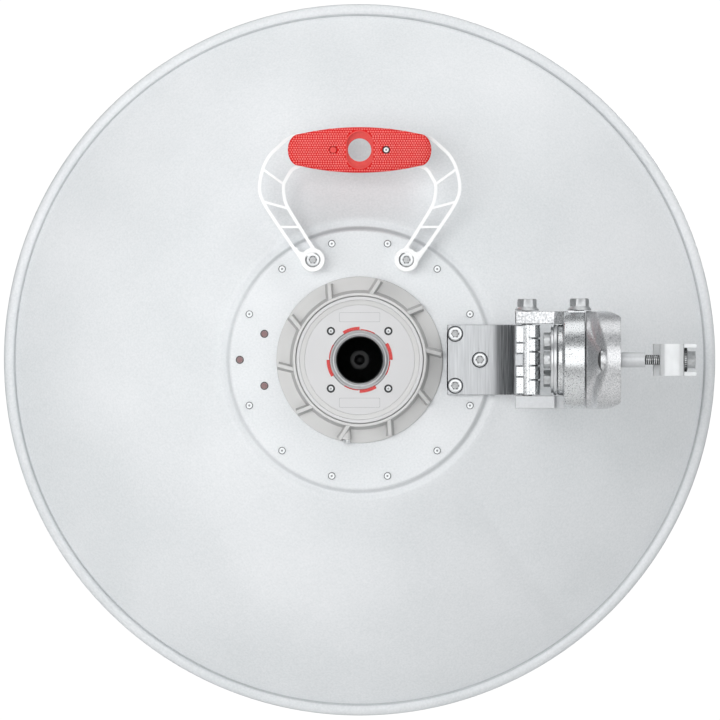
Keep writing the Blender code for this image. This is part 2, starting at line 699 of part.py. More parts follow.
def make_sleeve(name, parent, finish_material, at):
    start = JAW_END + GAP
    profile = rectangle((BOLT_HOLE, start), (SLEEVE_RADIUS, SLEEVE_END))
    return finish(turned(profile, "X", SMALL, at), name, parent, finish_material)


def make_moving_jaw(parent, finish_material):
    """An extruded claw with a notch for the pole, round ends and a channel that the nuts sit in."""
    round_x = (CLAW_BASE + CHANNEL_FLOOR) / 2
    round_radius = (CHANNEL_FLOOR - CLAW_BASE) / 2
    round_y = CLAW_HALF_WIDTH - round_radius
    notch_x = (CLAW_NOTCH, CLAW_TIP, CLAW_TIP, CLAW_BASE)
    half = (
        list(zip(notch_x, CLAW_NOTCH_Y))
        + arc((round_x, round_y), round_radius, 180, 20, 6)
        + [(CHANNEL_FLOOR, CHANNEL_HALF_LENGTH), (CLAW_END, CHANNEL_HALF_LENGTH)]
    )
    claw = prism(mirrored(half), "Z", -CLAW_HALF_HEIGHT, CLAW_HALF_HEIGHT)
    reach, past = 2 * CLAW_HALF_WIDTH, CLAW_END + MM
    channel = rectangle((CHANNEL_FLOOR, -CHANNEL_HALF_HEIGHT), (past, CHANNEL_HALF_HEIGHT))
    boolean(claw, "DIFFERENCE", prism(channel, "Y", -reach, reach))
    for side in (1, -1):
        hole = rod(BOLT_RADIUS + 0.6 * MM, "X", CLAW_TIP - MM, CLAW_END + MM, (side * BOLT_Y, 0))
        boolean(claw, "DIFFERENCE", hole)
    return finish(claw, "moving_jaw", parent, finish_material)


def make_nut(name, parent, finish_material, at):
    low, high = CHANNEL_FLOOR + GAP, CLAW_END - 0.8 * MM
    flange = rod(FLANGE_RADIUS, "X", low, low + 2 * MM, at)
    nut = prism(circle(HEX_RADIUS, 6, at), "X", low + MM, high)
    boolean(nut, "UNION", flange)
    boolean(nut, "DIFFERENCE", rod(BOLT_HOLE, "X", low - MM, high + MM, at))
    return finish(nut, name, parent, finish_material)


def main():
    clear_scene()
    coated = material("powder_coated_sheet", (0.79, 0.82, 0.84), 0.45)
    grey_plastic = material("grey_asa", (0.62, 0.62, 0.61), 0.55)
    pale_plastic = material("pale_asa", (0.71, 0.71, 0.72), 0.5)
    white_plastic = material("white_asa", (0.82, 0.84, 0.85), 0.5)
    red_rubber = material("red_rubber", (0.71, 0.03, 0.03), 0.6)
    red_plastic = material("red_nylon", (0.66, 0.06, 0.06), 0.45)
    brushed = material("brushed_aluminium", (0.62, 0.62, 0.62), 0.35, 1.0)
    cast = material("die_cast_aluminium", (0.66, 0.66, 0.66), 0.45, 1.0)
    steel = material("zinc_plated_steel", (0.68, 0.68, 0.68), 0.3, 1.0)
    black_plastic = material("black_hdpe", (0.03, 0.03, 0.03), 0.5)

    elevation_axis = empty("elevation_axis", (0, 0, 0))
    azimuth_axis = empty("azimuth_axis", (AZIMUTH_X, 0, 0), elevation_axis)
    from_pivot = (DISH_CENTRE[0] - AZIMUTH_X, DISH_CENTRE[1], DISH_CENTRE[2])
    dish_centre = empty("dish_centre", from_pivot, azimuth_axis)
    clamp = empty("clamp", (0, 0, 0))
    jaw_slide = empty("jaw_slide", (0, 0, 0), clamp)

    make_reflector(dish_centre, coated)
    make_stiffener(dish_centre, brushed)
    make_housing(dish_centre, grey_plastic)
    make_port_face(dish_centre, pale_plastic)
    make_lock_ring(dish_centre, red_plastic)
    make_collar(dish_centre, cast)
    make_feed(dish_centre, brushed, black_plastic, brushed)
    make_earth_screw(dish_centre, steel)
    make_handle(dish_centre, white_plastic, steel)
    split = (HANDLE_BACK + HANDLE_FRONT) / 2
    grip_half("grip_rear", dish_centre, red_rubber, split - GAP / 2, GRIP_BACK)
    grip_half("grip_front", dish_centre, red_rubber, split + GAP / 2, GRIP_FRONT)
    make_side_arm(dish_centre, brushed)
    for name, at in zip(("arm_screw_upper", "arm_screw_middle", "arm_screw_lower"), ARM_SCREWS):
        seat = -2 * GAP - ARM_WALL
        cap_screw(name, dish_centre, steel, at, seat, CAP_HEIGHT, STIFFENER_THICKNESS + BLIND_FLOOR)

    make_yoke(elevation_axis, cast)
    pivot_end, lock_end = MM - EAR_HIGH, SPIGOT_RADIUS + MM
    flange_bolt("pivot_bolt", elevation_axis, steel, (AZIMUTH_X, 0), EAR_HIGH + GAP, pivot_end, BOLT_RADIUS)
    flange_bolt("tilt_lock_bolt", elevation_axis, steel, (LOCK_X, 0), LOCK_SEAT + GAP, lock_end, LOCK_SHAFT)

    make_pole_jaw(clamp, cast)
    make_retainer(clamp, cast)
    for name, side in (("rear", -1), ("front", 1)):
        at = (side * BOLT_Y, 0)
        make_clamp_bolt("clamp_bolt_" + name, clamp, steel, at)
        make_sleeve("sleeve_" + name, clamp, brushed, at)
        make_nut("nut_" + name, jaw_slide, steel, at)
    make_moving_jaw(jaw_slide, brushed)


main()
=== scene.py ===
import math

import bmesh
import bpy
from mathutils import Matrix, Vector


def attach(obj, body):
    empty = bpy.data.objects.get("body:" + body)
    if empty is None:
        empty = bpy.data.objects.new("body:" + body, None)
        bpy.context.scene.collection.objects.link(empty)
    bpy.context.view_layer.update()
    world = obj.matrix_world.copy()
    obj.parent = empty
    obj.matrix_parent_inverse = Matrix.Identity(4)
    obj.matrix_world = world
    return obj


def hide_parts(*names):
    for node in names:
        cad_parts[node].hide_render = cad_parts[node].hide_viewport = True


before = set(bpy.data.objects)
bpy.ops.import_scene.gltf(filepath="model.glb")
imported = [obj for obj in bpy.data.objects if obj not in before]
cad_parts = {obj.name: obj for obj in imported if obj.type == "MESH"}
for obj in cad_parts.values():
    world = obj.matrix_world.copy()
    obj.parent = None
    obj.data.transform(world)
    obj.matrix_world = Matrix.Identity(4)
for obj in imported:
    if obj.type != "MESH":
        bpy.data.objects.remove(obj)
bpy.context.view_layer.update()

# The reflector: one aluminium sheet, spun over a former into a paraboloid with a raised flat for the hub
# and a rolled rim, then powder coated white, with an even soft sheen and a faint orange peel.
MM = 0.001
DISH_CENTRE = Vector((-186, 60, 0)) * MM
TO_DISH = Matrix.Translation(DISH_CENTRE) @ Matrix.Rotation(-math.pi / 2, 4, "X")
FOCAL_LENGTH = 150 * MM
HUB_RADIUS = 98.7 * MM
STEP_WIDTH = 4.6 * MM
GROOVE_DEPTH = 0.7 * MM
BEAD_CENTRE = 270.1 * MM
BEAD_ALONG = 107 * MM


def wire(node, inputs):
    """Gives the node's inputs these values, or links them to the nodes or sockets given instead."""
    for key, value in inputs.items():
        source = value.outputs[0] if isinstance(value, bpy.types.Node) else value
        if isinstance(source, bpy.types.NodeSocket):
            node.id_data.links.new(source, node.inputs[key])
        else:
            node.inputs[key].default_value = source


def add(tree, kind, inputs=None, **settings):
    """A new node with these settings, its inputs given as wire takes them."""
    node = tree.nodes.new(kind)
    for name, value in settings.items():
        setattr(node, name, value)
    wire(node, inputs or {})
    return node


def linear(code):
    """The scene-linear colour of an sRGB hex value."""
    channels = [int(code[i : i + 2], 16) / 255 for i in (1, 3, 5)]
    return tuple(c / 12.92 if c <= 0.04045 else ((c + 0.055) / 1.055) ** 2.4 for c in channels) + (1,)


def surface(name, colour, roughness, metallic=0.0):
    """A material with these values on its shader, then its tree, its shader and its place on the object."""
    made = bpy.data.materials.new(name)
    made.use_nodes = True
    tree = made.node_tree
    shader = tree.nodes["Principled BSDF"]
    shader.inputs["Base Color"].default_value = linear(colour)
    shader.inputs["Roughness"].default_value = roughness
    shader.inputs["Metallic"].default_value = metallic
    return made, tree, shader, add(tree, "ShaderNodeTexCoord").outputs["Object"]


def new_tree(name, **inputs):
    """A Geometry Nodes tree with these inputs of each kind, then their sockets and the output node."""
    tree = bpy.data.node_groups.new(name, "GeometryNodeTree")
    tree.interface.new_socket("Geometry", in_out="OUTPUT", socket_type="NodeSocketGeometry")
    for kind, labels in inputs.items():
        for label in labels:
            tree.interface.new_socket(label, in_out="INPUT", socket_type="NodeSocket" + kind)
    return tree, add(tree, "NodeGroupInput").outputs, add(tree, "NodeGroupOutput")


def close_tree(tree, shape, skin, out):
    """Ends the tree: its instances become real, smooth faces in the material."""
    smooth = add(tree, "GeometryNodeSetShadeSmooth", {"Geometry": shape})
    real = add(tree, "GeometryNodeRealizeInstances", {"Geometry": smooth})
    painted = add(tree, "GeometryNodeSetMaterial", {"Geometry": real, "Material": skin})
    wire(out, {0: painted})


def outwards(mesh, sharp=35):
    """Turns the mesh's faces outwards, and keeps its edges sharp where they bend more than the angle."""
    shape = bmesh.new()
    shape.from_mesh(mesh)
    bmesh.ops.remove_doubles(shape, verts=shape.verts, dist=MM / 1000)
    bmesh.ops.recalc_face_normals(shape, faces=shape.faces)
    shape.to_mesh(mesh)
    shape.free()
    mesh.shade_smooth()
    mesh.set_sharp_from_angle(angle=math.radians(sharp))


def grown(name, tree, values, place=Matrix(), sharp=35):
    """The object that the tree makes from these values, as a plain mesh in its place."""
    thing = bpy.data.objects.new(name, bpy.data.meshes.new(name))
    bpy.context.scene.collection.objects.link(thing)
    step = thing.modifiers.new(name, "NODES")
    step.node_group = tree
    for item in tree.interface.items_tree:
        if item.in_out == "INPUT":
            step[item.identifier] = values[item.name]
    graph = bpy.context.evaluated_depsgraph_get()
    mesh = bpy.data.meshes.new_from_object(thing.evaluated_get(graph))
    thing.modifiers.clear()
    mesh.transform(place)
    thing.data = mesh
    outwards(mesh, sharp)
    return thing


powder_coat, tree, shader, spot = surface("White powder coat on spun aluminium", "#E9ECEE", 0.42)
# Orange peel of 1.5 mm, the size that this paint has on sheet, shows in its tone and in its relief
peel = add(tree, "ShaderNodeTexNoise", {"Vector": spot, "Scale": 650, "Detail": 1})
mottle = add(tree, "ShaderNodeTexNoise", {"Vector": spot, "Scale": 9, "Detail": 2})
both = add(tree, "ShaderNodeMath", {0: peel, 1: 0.7, 2: mottle}, operation="MULTIPLY_ADD")
tone = add(tree, "ShaderNodeMapRange", {0: both, 1: 0.5, 2: 1.2})
tone = add(tree, "ShaderNodeMix", {0: tone, 6: linear("#DFE3E5"), 7: linear("#F3F5F7")}, data_type="RGBA")
# Painted shade darkens the groove round the hub, most of all above it, and thinly the creases at the rim
centred = add(tree, "ShaderNodeMapping", {"Vector": spot, "Location": -DISH_CENTRE})
level = add(tree, "ShaderNodeVectorMath", {0: centred, 1: (1, 0, 1)}, operation="MULTIPLY")
radius = add(tree, "ShaderNodeVectorMath", {0: level}, operation="LENGTH").outputs["Value"]
height = add(tree, "ShaderNodeSeparateXYZ", {0: level}).outputs[2]
above = add(
    tree,
    "ShaderNodeMapRange",
    {0: height, 1: 40 * MM, 2: 95 * MM, 3: 0.28, 4: 0.55},
    interpolation_type="SMOOTHSTEP",
)
painted_shade = 0
for start, full, fading, end, amount in (
    (99.5 * MM, 101 * MM, 101.6 * MM, 103.6 * MM, above),
    (265.2 * MM, 266.3 * MM, 266.9 * MM, 268 * MM, 0.45),
    (273.8 * MM, 274.8 * MM, 277 * MM, 278 * MM, 0.15),
):
    near = add(tree, "ShaderNodeMapRange", {0: radius, 1: start, 2: full}, interpolation_type="SMOOTHSTEP")
    far = add(tree, "ShaderNodeMapRange", {0: radius, 1: fading, 2: end}, interpolation_type="SMOOTHSTEP")
    band = add(tree, "ShaderNodeMath", {0: near, 1: far}, operation="SUBTRACT")
    painted_shade = add(tree, "ShaderNodeMath", {0: band, 1: amount, 2: painted_shade}, operation="MULTIPLY_ADD")
shaded_tone = add(tree, "ShaderNodeMix", {0: painted_shade, 6: tone.outputs[2], 7: linear("#9DA1A4")}, data_type="RGBA")
bump = add(tree, "ShaderNodeBump", {"Strength": 0.07, "Distance": 0.1 * MM, "Height": peel})
wire(shader, {"Base Color": shaded_tone.outputs[2], "Normal": bump})

tree, given, out = new_tree(
    "Spun paraboloid with a rolled rim",
    Float=["Hole Radius", "Hub Radius", "Step Width", "Step Rise", "Groove Depth", "Focal Length",
        "Edge Radius", "Crease Radius", "Crease Width", "Crease Depth", "Sheet", "Bead Radius",
        "Bead Centre", "Bead Along"],
    Int=["Radial Steps", "Facets"],
    Material=["Material"],
)
# The grid's columns run out along the back of the sheet and home along its front, and its rows go round
steps = given["Radial Steps"]
columns = add(tree, "ShaderNodeMath", {0: steps, 1: 2, 2: 3}, operation="MULTIPLY_ADD")
rows = add(tree, "ShaderNodeMath", {0: given["Facets"], 1: 1}, operation="ADD")
sides = {"Size X": 1, "Size Y": 1, "Vertices X": columns, "Vertices Y": rows}
grid = add(tree, "GeometryNodeMeshGrid", sides)
flat = add(tree, "ShaderNodeSeparateXYZ", {0: add(tree, "GeometryNodeInputPosition")})
span = add(tree, "ShaderNodeMath", {0: steps, 1: 2, 2: 2}, operation="MULTIPLY_ADD")
column = add(tree, "ShaderNodeMath", {0: flat, 1: 0.5}, operation="ADD")
column = add(tree, "ShaderNodeMath", {0: column, 1: span}, operation="MULTIPLY")
turn = add(tree, "ShaderNodeMath", {0: flat.outputs[1], 1: math.tau}, operation="MULTIPLY")
last = add(tree, "ShaderNodeMath", {0: span, 1: 1}, operation="SUBTRACT")
homeward = add(tree, "ShaderNodeMath", {0: last, 1: column}, operation="SUBTRACT")
nearer = add(tree, "ShaderNodeMath", {0: column, 1: homeward}, operation="MINIMUM")
share = add(tree, "ShaderNodeMath", {0: nearer, 1: steps}, operation="DIVIDE", use_clamp=True)
past_edge = add(tree, "ShaderNodeMath", {0: steps, 1: 0.5}, operation="ADD")
in_front = add(tree, "ShaderNodeMath", {0: column, 1: past_edge}, operation="GREATER_THAN")
not_home = add(tree, "ShaderNodeMath", {0: homeward, 1: -0.5}, operation="GREATER_THAN")
front = add(tree, "ShaderNodeMath", {0: in_front, 1: not_home}, operation="MULTIPLY")
# A third of the columns lie on the step at the hub, where the sheet bends most
hub_edge = add(tree, "ShaderNodeMath", {0: given["Hub Radius"], 1: MM}, operation="SUBTRACT")
step_end = add(tree, "ShaderNodeMath", {0: given["Hub Radius"], 1: given["Step Width"]}, operation="ADD")
bowl_start = add(tree, "ShaderNodeMath", {0: step_end, 1: given["Step Width"]}, operation="ADD")
radius = given["Hole Radius"]
for start, end, inner, outer in (
    (0, 0.1, given["Hole Radius"], hub_edge),
    (0.1, 0.4, hub_edge, bowl_start),
    (0.4, 1, bowl_start, given["Edge Radius"]),
):
    width = add(tree, "ShaderNodeMath", {0: outer, 1: inner}, operation="SUBTRACT")
    part = add(tree, "ShaderNodeMapRange", {0: share, 1: start, 2: end, 3: 0, 4: width})
    radius = add(tree, "ShaderNodeMath", {0: radius, 1: part}, operation="ADD")
# The step drops to the bottom of a shallow groove, which rises again to the bowl
drop = add(tree, "ShaderNodeMath", {0: given["Step Rise"], 1: given["Groove Depth"]}, operation="ADD")
fall = add(
    tree,
    "ShaderNodeMapRange",
    {0: radius, 1: given["Hub Radius"], 2: step_end, 3: 0, 4: drop},
    interpolation_type="SMOOTHSTEP",
)
climb = add(
    tree,
    "ShaderNodeMapRange",
    {0: radius, 1: step_end, 2: bowl_start, 3: 0, 4: given["Groove Depth"]},
    interpolation_type="SMOOTHSTEP",
)
rise = add(tree, "ShaderNodeMath", {0: fall, 1: climb}, operation="SUBTRACT")
squares = [add(tree, "ShaderNodeMath", {0: r, 1: 2}, operation="POWER") for r in (radius, bowl_start)]
depth = add(tree, "ShaderNodeMath", {0: squares[0], 1: squares[1]}, operation="SUBTRACT")
depth = add(tree, "ShaderNodeMath", {0: depth, 1: 0}, operation="MAXIMUM")
depth = add(tree, "ShaderNodeMath", {0: depth, 1: 0.25}, operation="MULTIPLY")
depth = add(tree, "ShaderNodeMath", {0: depth, 1: given["Focal Length"]}, operation="DIVIDE")
height = add(tree, "ShaderNodeMath", {0: rise, 1: depth}, operation="ADD")
# The sheet dips where it meets the bead, and the dip shows as a thin dark line inside the rim
crease = given["Crease Radius"]
crease_end = add(tree, "ShaderNodeMath", {0: crease, 1: given["Crease Width"]}, operation="ADD")
dip = add(
    tree,
    "ShaderNodeMapRange",
    {0: radius, 1: crease, 2: crease_end, 3: 0, 4: given["Crease Depth"]},
    interpolation_type="SMOOTHSTEP",
)
height = add(tree, "ShaderNodeMath", {0: height, 1: dip}, operation="ADD")
height = add(tree, "ShaderNodeMath", {0: front, 1: given["Sheet"], 2: height}, operation="MULTIPLY_ADD")
cosine = add(tree, "ShaderNodeMath", {0: turn}, operation="COSINE")
sine = add(tree, "ShaderNodeMath", {0: turn}, operation="SINE")
across = add(tree, "ShaderNodeMath", {0: radius, 1: cosine}, operation="MULTIPLY")
up = add(tree, "ShaderNodeMath", {0: radius, 1: sine}, operation="MULTIPLY")
point = add(tree, "ShaderNodeCombineXYZ", {0: across, 1: up, 2: height})
sheet = add(tree, "GeometryNodeSetPosition", {"Geometry": grid, "Position": point})
sheet = add(tree, "GeometryNodeMergeByDistance", {"Geometry": sheet, "Distance": MM / 1000})
circle = "GeometryNodeCurvePrimitiveCircle"
path = add(tree, circle, {"Resolution": given["Facets"], "Radius": given["Bead Centre"]})
roll = add(tree, circle, {"Resolution": 24, "Radius": given["Bead Radius"]})
bead = add(tree, "GeometryNodeCurveToMesh", {"Curve": path, "Profile Curve": roll})
lift = add(tree, "ShaderNodeCombineXYZ", {2: given["Bead Along"]})
bead = add(tree, "GeometryNodeTransform", {"Geometry": bead, "Translation": lift})
joined = add(tree, "GeometryNodeJoinGeometry")
tree.links.new(sheet.outputs[0], joined.inputs[0])
tree.links.new(bead.outputs[0], joined.inputs[0])
close_tree(tree, joined, given["Material"], out)

dish = grown(
    "reflector_sheet",
    tree,
    {
        "Hole Radius": 32 * MM,
        "Hub Radius": HUB_RADIUS,
        "Step Width": STEP_WIDTH,
        "Step Rise": 4 * MM,
        "Groove Depth": GROOVE_DEPTH,
        "Focal Length": FOCAL_LENGTH,
        "Edge Radius": 267 * MM,
        "Crease Radius": 262 * MM,
        "Crease Width": 3 * MM,
        "Crease Depth": 1.6 * MM,
        "Sheet": 2.2 * MM,
        "Bead Radius": 4.85 * MM,
        "Bead Centre": BEAD_CENTRE,
        "Bead Along": BEAD_ALONG,
        "Radial Steps": 80,
        "Facets": 288,
        "Material": powder_coat,
    },
    TO_DISH,
)
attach(dish, "dish")
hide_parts("reflector")

# The hub's fasteners: twelve small zinc plated pan head screws with a six-lobed recess, which hold the
# stiffener behind the sheet, and three steel inserts in the spare holes for an arm on the left.
SMALL_SCREW_CIRCLE = 91.9 * MM
SPARE_HOLES = ((-73.3 * MM, 20 * MM), (-92.2 * MM, 0), (-73.3 * MM, -20 * MM))


def mm(*points):
    """These points, given in millimetres, in metres. A number of sides after a point stays as it is."""
    return [(x * MM, y * MM, *sides) for x, y, *sides in points]


def ring_radius(radius, sides, turn):
    """How far a ring reaches at this turn: a circle, a polygon of these sides, or lobes if it is negative."""
    if sides > 0:
        side = math.tau / sides
        return radius * math.cos(side / 2) / math.cos((turn % side) - side / 2)
    return radius * (1 + 0.13 * math.cos(sides * turn)) if sides else radius


def turned(shape, outline, place=Matrix(), facets=48):
    """Adds a solid whose outline of (radius, height, sides) points goes round the local Z axis."""
    rings = []
    for radius, height, *sides in outline:
        turns = [math.tau * i / facets for i in range(facets if radius else 1)]
        reach = [ring_radius(radius, sides[0] if sides else 0, t) for t in turns]
        points = [(r * math.cos(t), r * math.sin(t), height) for r, t in zip(reach, turns)]
        rings.append([shape.verts.new(place @ Vector(point)) for point in points])
    for near, far in zip(rings, rings[1:] + rings[:1]):
        if len(near) == len(far) == 1:
            continue
        for i in range(facets):
            after = i + 1
            corners = [near[i % len(near)], near[after % len(near)], far[after % len(far)], far[i % len(far)]]
            shape.faces.new(list(dict.fromkeys(corners)))
    return shape


def rounded(outline, radius, steps=3):
    """The outline with its corners rounded, apart from those on the axis or with a number of sides."""
    made = []
    count = len(outline)
    for i, corner in enumerate(outline):
        ends = [Vector(outline[i - 1][:2]), Vector(outline[(i + 1) % count][:2])]
        middle = Vector(corner[:2])
        if abs(corner[0]) < 1e-9 or len(corner) > 2:
            made.append(corner)
            continue
        cut = [middle + (end - middle) * min(radius / (end - middle).length, 0.45) for end in ends]
        for k in range(steps + 1):
            t = k / steps
            made.append(tuple(cut[0] * (1 - t) ** 2 + middle * 2 * t * (1 - t) + cut[1] * t * t))
    return made


def finished(name, shape, skin, sharp=35):
    """The bmesh as an object in this material, with its faces outwards."""
    mesh = bpy.data.meshes.new(name)
    shape.to_mesh(mesh)
    shape.free()
    outwards(mesh, sharp)
    mesh.materials.append(skin)
    thing = bpy.data.objects.new(name, mesh)
    bpy.context.scene.collection.objects.link(thing)
    return thing


def lathed(name, skin, outline, place=Matrix(), facets=48, sharp=35):
    """A turned solid as an object in this material."""
    return finished(name, turned(bmesh.new(), outline, place, facets), skin, sharp)


def mottled(name, colour, roughness, metallic, scale, detail, dark, light):
    """A material whose colour wanders between two tones, in spots of a noise with this scale."""
    made, tree, shader, spot = surface(name, colour, roughness, metallic)
    noise = add(tree, "ShaderNodeTexNoise", {"Vector": spot, "Scale": scale, "Detail": detail})
    tone = add(tree, "ShaderNodeMix", {0: noise, 6: linear(dark), 7: linear(light)}, data_type="RGBA")
    wire(shader, {"Base Color": tone.outputs[2]})
    return made


zinc, tree, shader, spot = surface("Zinc plated steel", "#E6E8E9", 0.3, 1)
# Plating that has dulled in patches of 4 mm, so that the gloss isn't even
patches = add(tree, "ShaderNodeTexNoise", {"Vector": spot, "Scale": 250, "Detail": 2})
dull = add(tree, "ShaderNodeMapRange", {0: patches, 1: 0.3, 2: 0.7, 3: 0.27, 4: 0.38})
wire(shader, {"Roughness": dull})

# Near-black painted shade, put in the seats, sockets, wells, cups, pockets and serrations where shade falls
recess_shade = mottled("Near-black painted shade in a recess", "#3A3B3C", 0.6, 0, 900, 2, "#2B2C2D", "#505153")
shaded_steel = mottled("Shaded steel in a small recess", "#8C8D8E", 0.6, 0, 1200, 2, "#7E7F81", "#B4B5B6")
dull_steel = mottled("Dull drilled steel", "#C4C5C6", 0.5, 0.3, 900, 2, "#A6A7A8", "#DADBDC")

ring_tree, given, out = new_tree(
    "Parts round a circle",
    Object=["Part"],
    Int=["Count", "Seed"],
    Float=["Radius", "First Angle", "Step Angle", "Loose Turn"],
    Material=["Material"],
)
index = add(ring_tree, "GeometryNodeInputIndex")
angle = {0: index, 1: given["Step Angle"], 2: given["First Angle"]}
angle = add(ring_tree, "ShaderNodeMath", angle, operation="MULTIPLY_ADD")
sine = add(ring_tree, "ShaderNodeMath", {0: angle}, operation="SINE")
cosine = add(ring_tree, "ShaderNodeMath", {0: angle}, operation="COSINE")
down = add(ring_tree, "ShaderNodeMath", {0: cosine, 1: -1}, operation="MULTIPLY")
spoke = add(ring_tree, "ShaderNodeCombineXYZ", {0: sine, 1: down})
reach = add(ring_tree, "ShaderNodeVectorMath", {0: spoke, "Scale": given["Radius"]}, operation="SCALE")
points = add(ring_tree, "GeometryNodePoints", {"Count": given["Count"], "Position": reach})
loose = add(
    ring_tree,
    "FunctionNodeRandomValue",
    {"Min": -1.0, "Max": 1.0, "ID": index, "Seed": given["Seed"]},
    data_type="FLOAT",
).outputs["Value"]
spin = {0: loose, 1: given["Loose Turn"], 2: angle}
spin = add(ring_tree, "ShaderNodeMath", spin, operation="MULTIPLY_ADD")
rotation = add(ring_tree, "ShaderNodeCombineXYZ", {2: spin})
part = add(ring_tree, "GeometryNodeObjectInfo", {"Object": given["Part"]}, transform_space="ORIGINAL")
placed = add(
    ring_tree,
    "GeometryNodeInstanceOnPoints",
    {"Points": points, "Instance": part.outputs["Geometry"], "Rotation": rotation},
)
close_tree(ring_tree, placed, given["Material"], out)


def around(name, part, skin, radius, count, first, step, place=TO_DISH, loose=0.0, seed=1):
    """Copies of the part round a circle, as one object. Angles are in degrees, clockwise from the top."""
    values = {
        "Part": part,
        "Count": count,
        "Radius": radius,
        "First Angle": math.radians(first),
        "Step Angle": math.radians(step),
        "Loose Turn": math.radians(loose),
        "Seed": seed,
        "Material": skin,
    }
    return grown(name, ring_tree, values, place)


def lobed_screw(name, head_radius, head_height, recess_radius, underside):
    """A pan head with a six-lobed recess, whose top faces local -Z, and the floor of that recess in the grey
    of painted shade.
    """
    top = underside - head_height
    outline = [
        (0, underside),
        (head_radius, underside),
        (head_radius, top + 0.3 * head_height),
        (0.93 * head_radius, top + 0.1 * head_height),
        (0.84 * head_radius, top),
        (recess_radius, top, -6),
        (0.92 * recess_radius, top + 0.55 * head_height, -6),
        (0, top + 0.6 * head_height),
    ]
    depth = top + 0.35 * head_height
    floor = [(0, depth), (0.95 * recess_radius, depth, -6), (0, depth + 0.1 * head_height)]
    head = lathed(name, zinc, outline)
    return head, lathed(name + "_recess", shaded_steel, floor)


head, recess = lobed_screw("small_screw", 2.4 * MM, 2 * MM, 0.85 * MM, 0)
# Each head sits in a thin near-black ring, a painted shadow where it meets the sheet
outline = mm((2.3, 0.2), (2.8, 0.2), (2.8, -0.3), (2.3, -0.3))
seat = lathed("small_screw_seat", recess_shade, outline)
parts = ((head, zinc, "_heads"), (recess, shaded_steel, "_recesses"), (seat, recess_shade, "_seats"))
for name, first, seed in (("hub_screws_upper", -67.5, 3), ("hub_screws_lower", 112.5, 4)):
    for part, skin, label in parts:
        ring = around(name + label, part, skin, SMALL_SCREW_CIRCLE, 6, first, 27, loose=30, seed=seed)
        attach(ring, "dish")
for part in (head, recess, seat):
    bpy.data.objects.remove(part)

sealant = mottled("Reddish thread sealant in an open hole", "#8F7E80", 0.7, 0, 900, 3, "#A0605F", "#8E9092")
# The edge of each hole is a near-black ring of painted shade, and its floor is red sealant
edges, floors = bmesh.new(), bmesh.new()
for x, z in SPARE_HOLES:
    place = TO_DISH @ Matrix.Translation((x, -z, 0))
    turned(edges, mm((2.4, 0.3), (3.1, 0.3), (3.1, -0.2), (2.4, -0.2)), place)
    turned(floors, mm((0, 0.3), (2.35, 0.3), (2.35, -0.1), (0, -0.1)), place)
for name, shape, skin in (("spare_hole_edges", edges, recess_shade), ("spare_hole_floors", floors, sealant)):
    piece = finished(name, shape, skin)
    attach(piece, "dish")

# The stiffener: an aluminium plate of 4 mm, turned flat and left bare, in front of the hub inside the dish.
# Its face carries the fine rings of the lathe's feed.
turned_plate, tree, shader, spot = surface("Face-turned aluminium", "#C9CBCC", 0.32, 1)
centred = add(tree, "ShaderNodeMapping", {"Vector": spot, "Location": -DISH_CENTRE})
rings = add(
    tree,
    "ShaderNodeTexWave",
    {"Vector": centred, "Scale": 160, "Distortion": 0.4, "Detail": 1},
    wave_type="RINGS",
    rings_direction="Y",
)
feed = add(tree, "ShaderNodeMapRange", {0: rings, 3: 0.24, 4: 0.4})
wire(shader, {"Roughness": feed})
plate_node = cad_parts["hub_stiffener"]
plate_node.data.materials.clear()
plate_node.data.materials.append(turned_plate)

# The port housing: light grey ASA, moulded with a skirt that ten leaning ribs brace from the wall round the
# port. The fine spark texture of the mould keeps it matt.
RIB_ROOT = 50.2 * MM
RIB_REACH = 13.7 * MM
RIB_LEAN = math.radians(23)
RIB_START = 9.3

grey_asa, tree, shader, spot = surface("Moulded light grey ASA", "#CFCFCE", 0.55)
grain = add(tree, "ShaderNodeTexNoise", {"Vector": spot, "Scale": 1500, "Detail": 2})
flow = add(tree, "ShaderNodeTexNoise", {"Vector": spot, "Scale": 30, "Detail": 2})
tone = add(tree, "ShaderNodeMix", {0: flow, 6: linear("#D2D2D1"), 7: linear("#DADAD9")}, data_type="RGBA")
# Walls that stand near upright are painted darker than the textured floors and tops, a painted shade for the
# little light that reaches them
normal = add(tree, "ShaderNodeTexCoord").outputs["Normal"]
level = add(tree, "ShaderNodeSeparateXYZ", {0: normal}).outputs[1]
steep_shade = add(
    tree, "ShaderNodeMapRange", {0: level, 1: -0.7, 2: -0.35, 3: 0, 4: 0.6}, interpolation_type="SMOOTHSTEP"
)
tone = add(tree, "ShaderNodeMix", {0: steep_shade, 6: tone.outputs[2], 7: linear("#8B8B8B")}, data_type="RGBA")
bump = add(tree, "ShaderNodeBump", {"Strength": 0.12, "Distance": 0.05 * MM, "Height": grain})
wire(shader, {"Base Color": tone.outputs[2], "Normal": bump})

outline = mm(
    (23.1, -0.3), (64, -0.3), (64, -1.6), (53.7, -6.4), (51.4, -15.9), (49.3, -15.9), (49.3, -12.3),
    (23.1, -12.3)
)
housing = lathed("port_housing_shell", grey_asa, rounded(outline, 0.7 * MM), TO_DISH, 144)
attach(housing, "dish")
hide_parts("port_housing")


def loft(shape, rings, place=Matrix()):
    """Adds a closed solid through these rings of points, with its ends capped."""
    made = [[shape.verts.new(place @ Vector(point)) for point in ring] for ring in rings]
    count = len(made[0])
    shape.faces.new(made[0])
    shape.faces.new(made[-1])
    for near, far in zip(made, made[1:]):
        for i in range(count):
            shape.faces.new([near[i], near[(i + 1) % count], far[(i + 1) % count], far[i]])
    return shape


def softened(thing, width, segments=2):
    """Rounds the thing's edges by this width, where they bend more than 35 degrees."""
    bevel = thing.modifiers.new("edges", "BEVEL")
    bevel.width = width
    bevel.segments = segments
    bevel.limit_method = "ANGLE"
    bevel.angle_limit = math.radians(35)
    bevel.harden_normals = True
    return thing


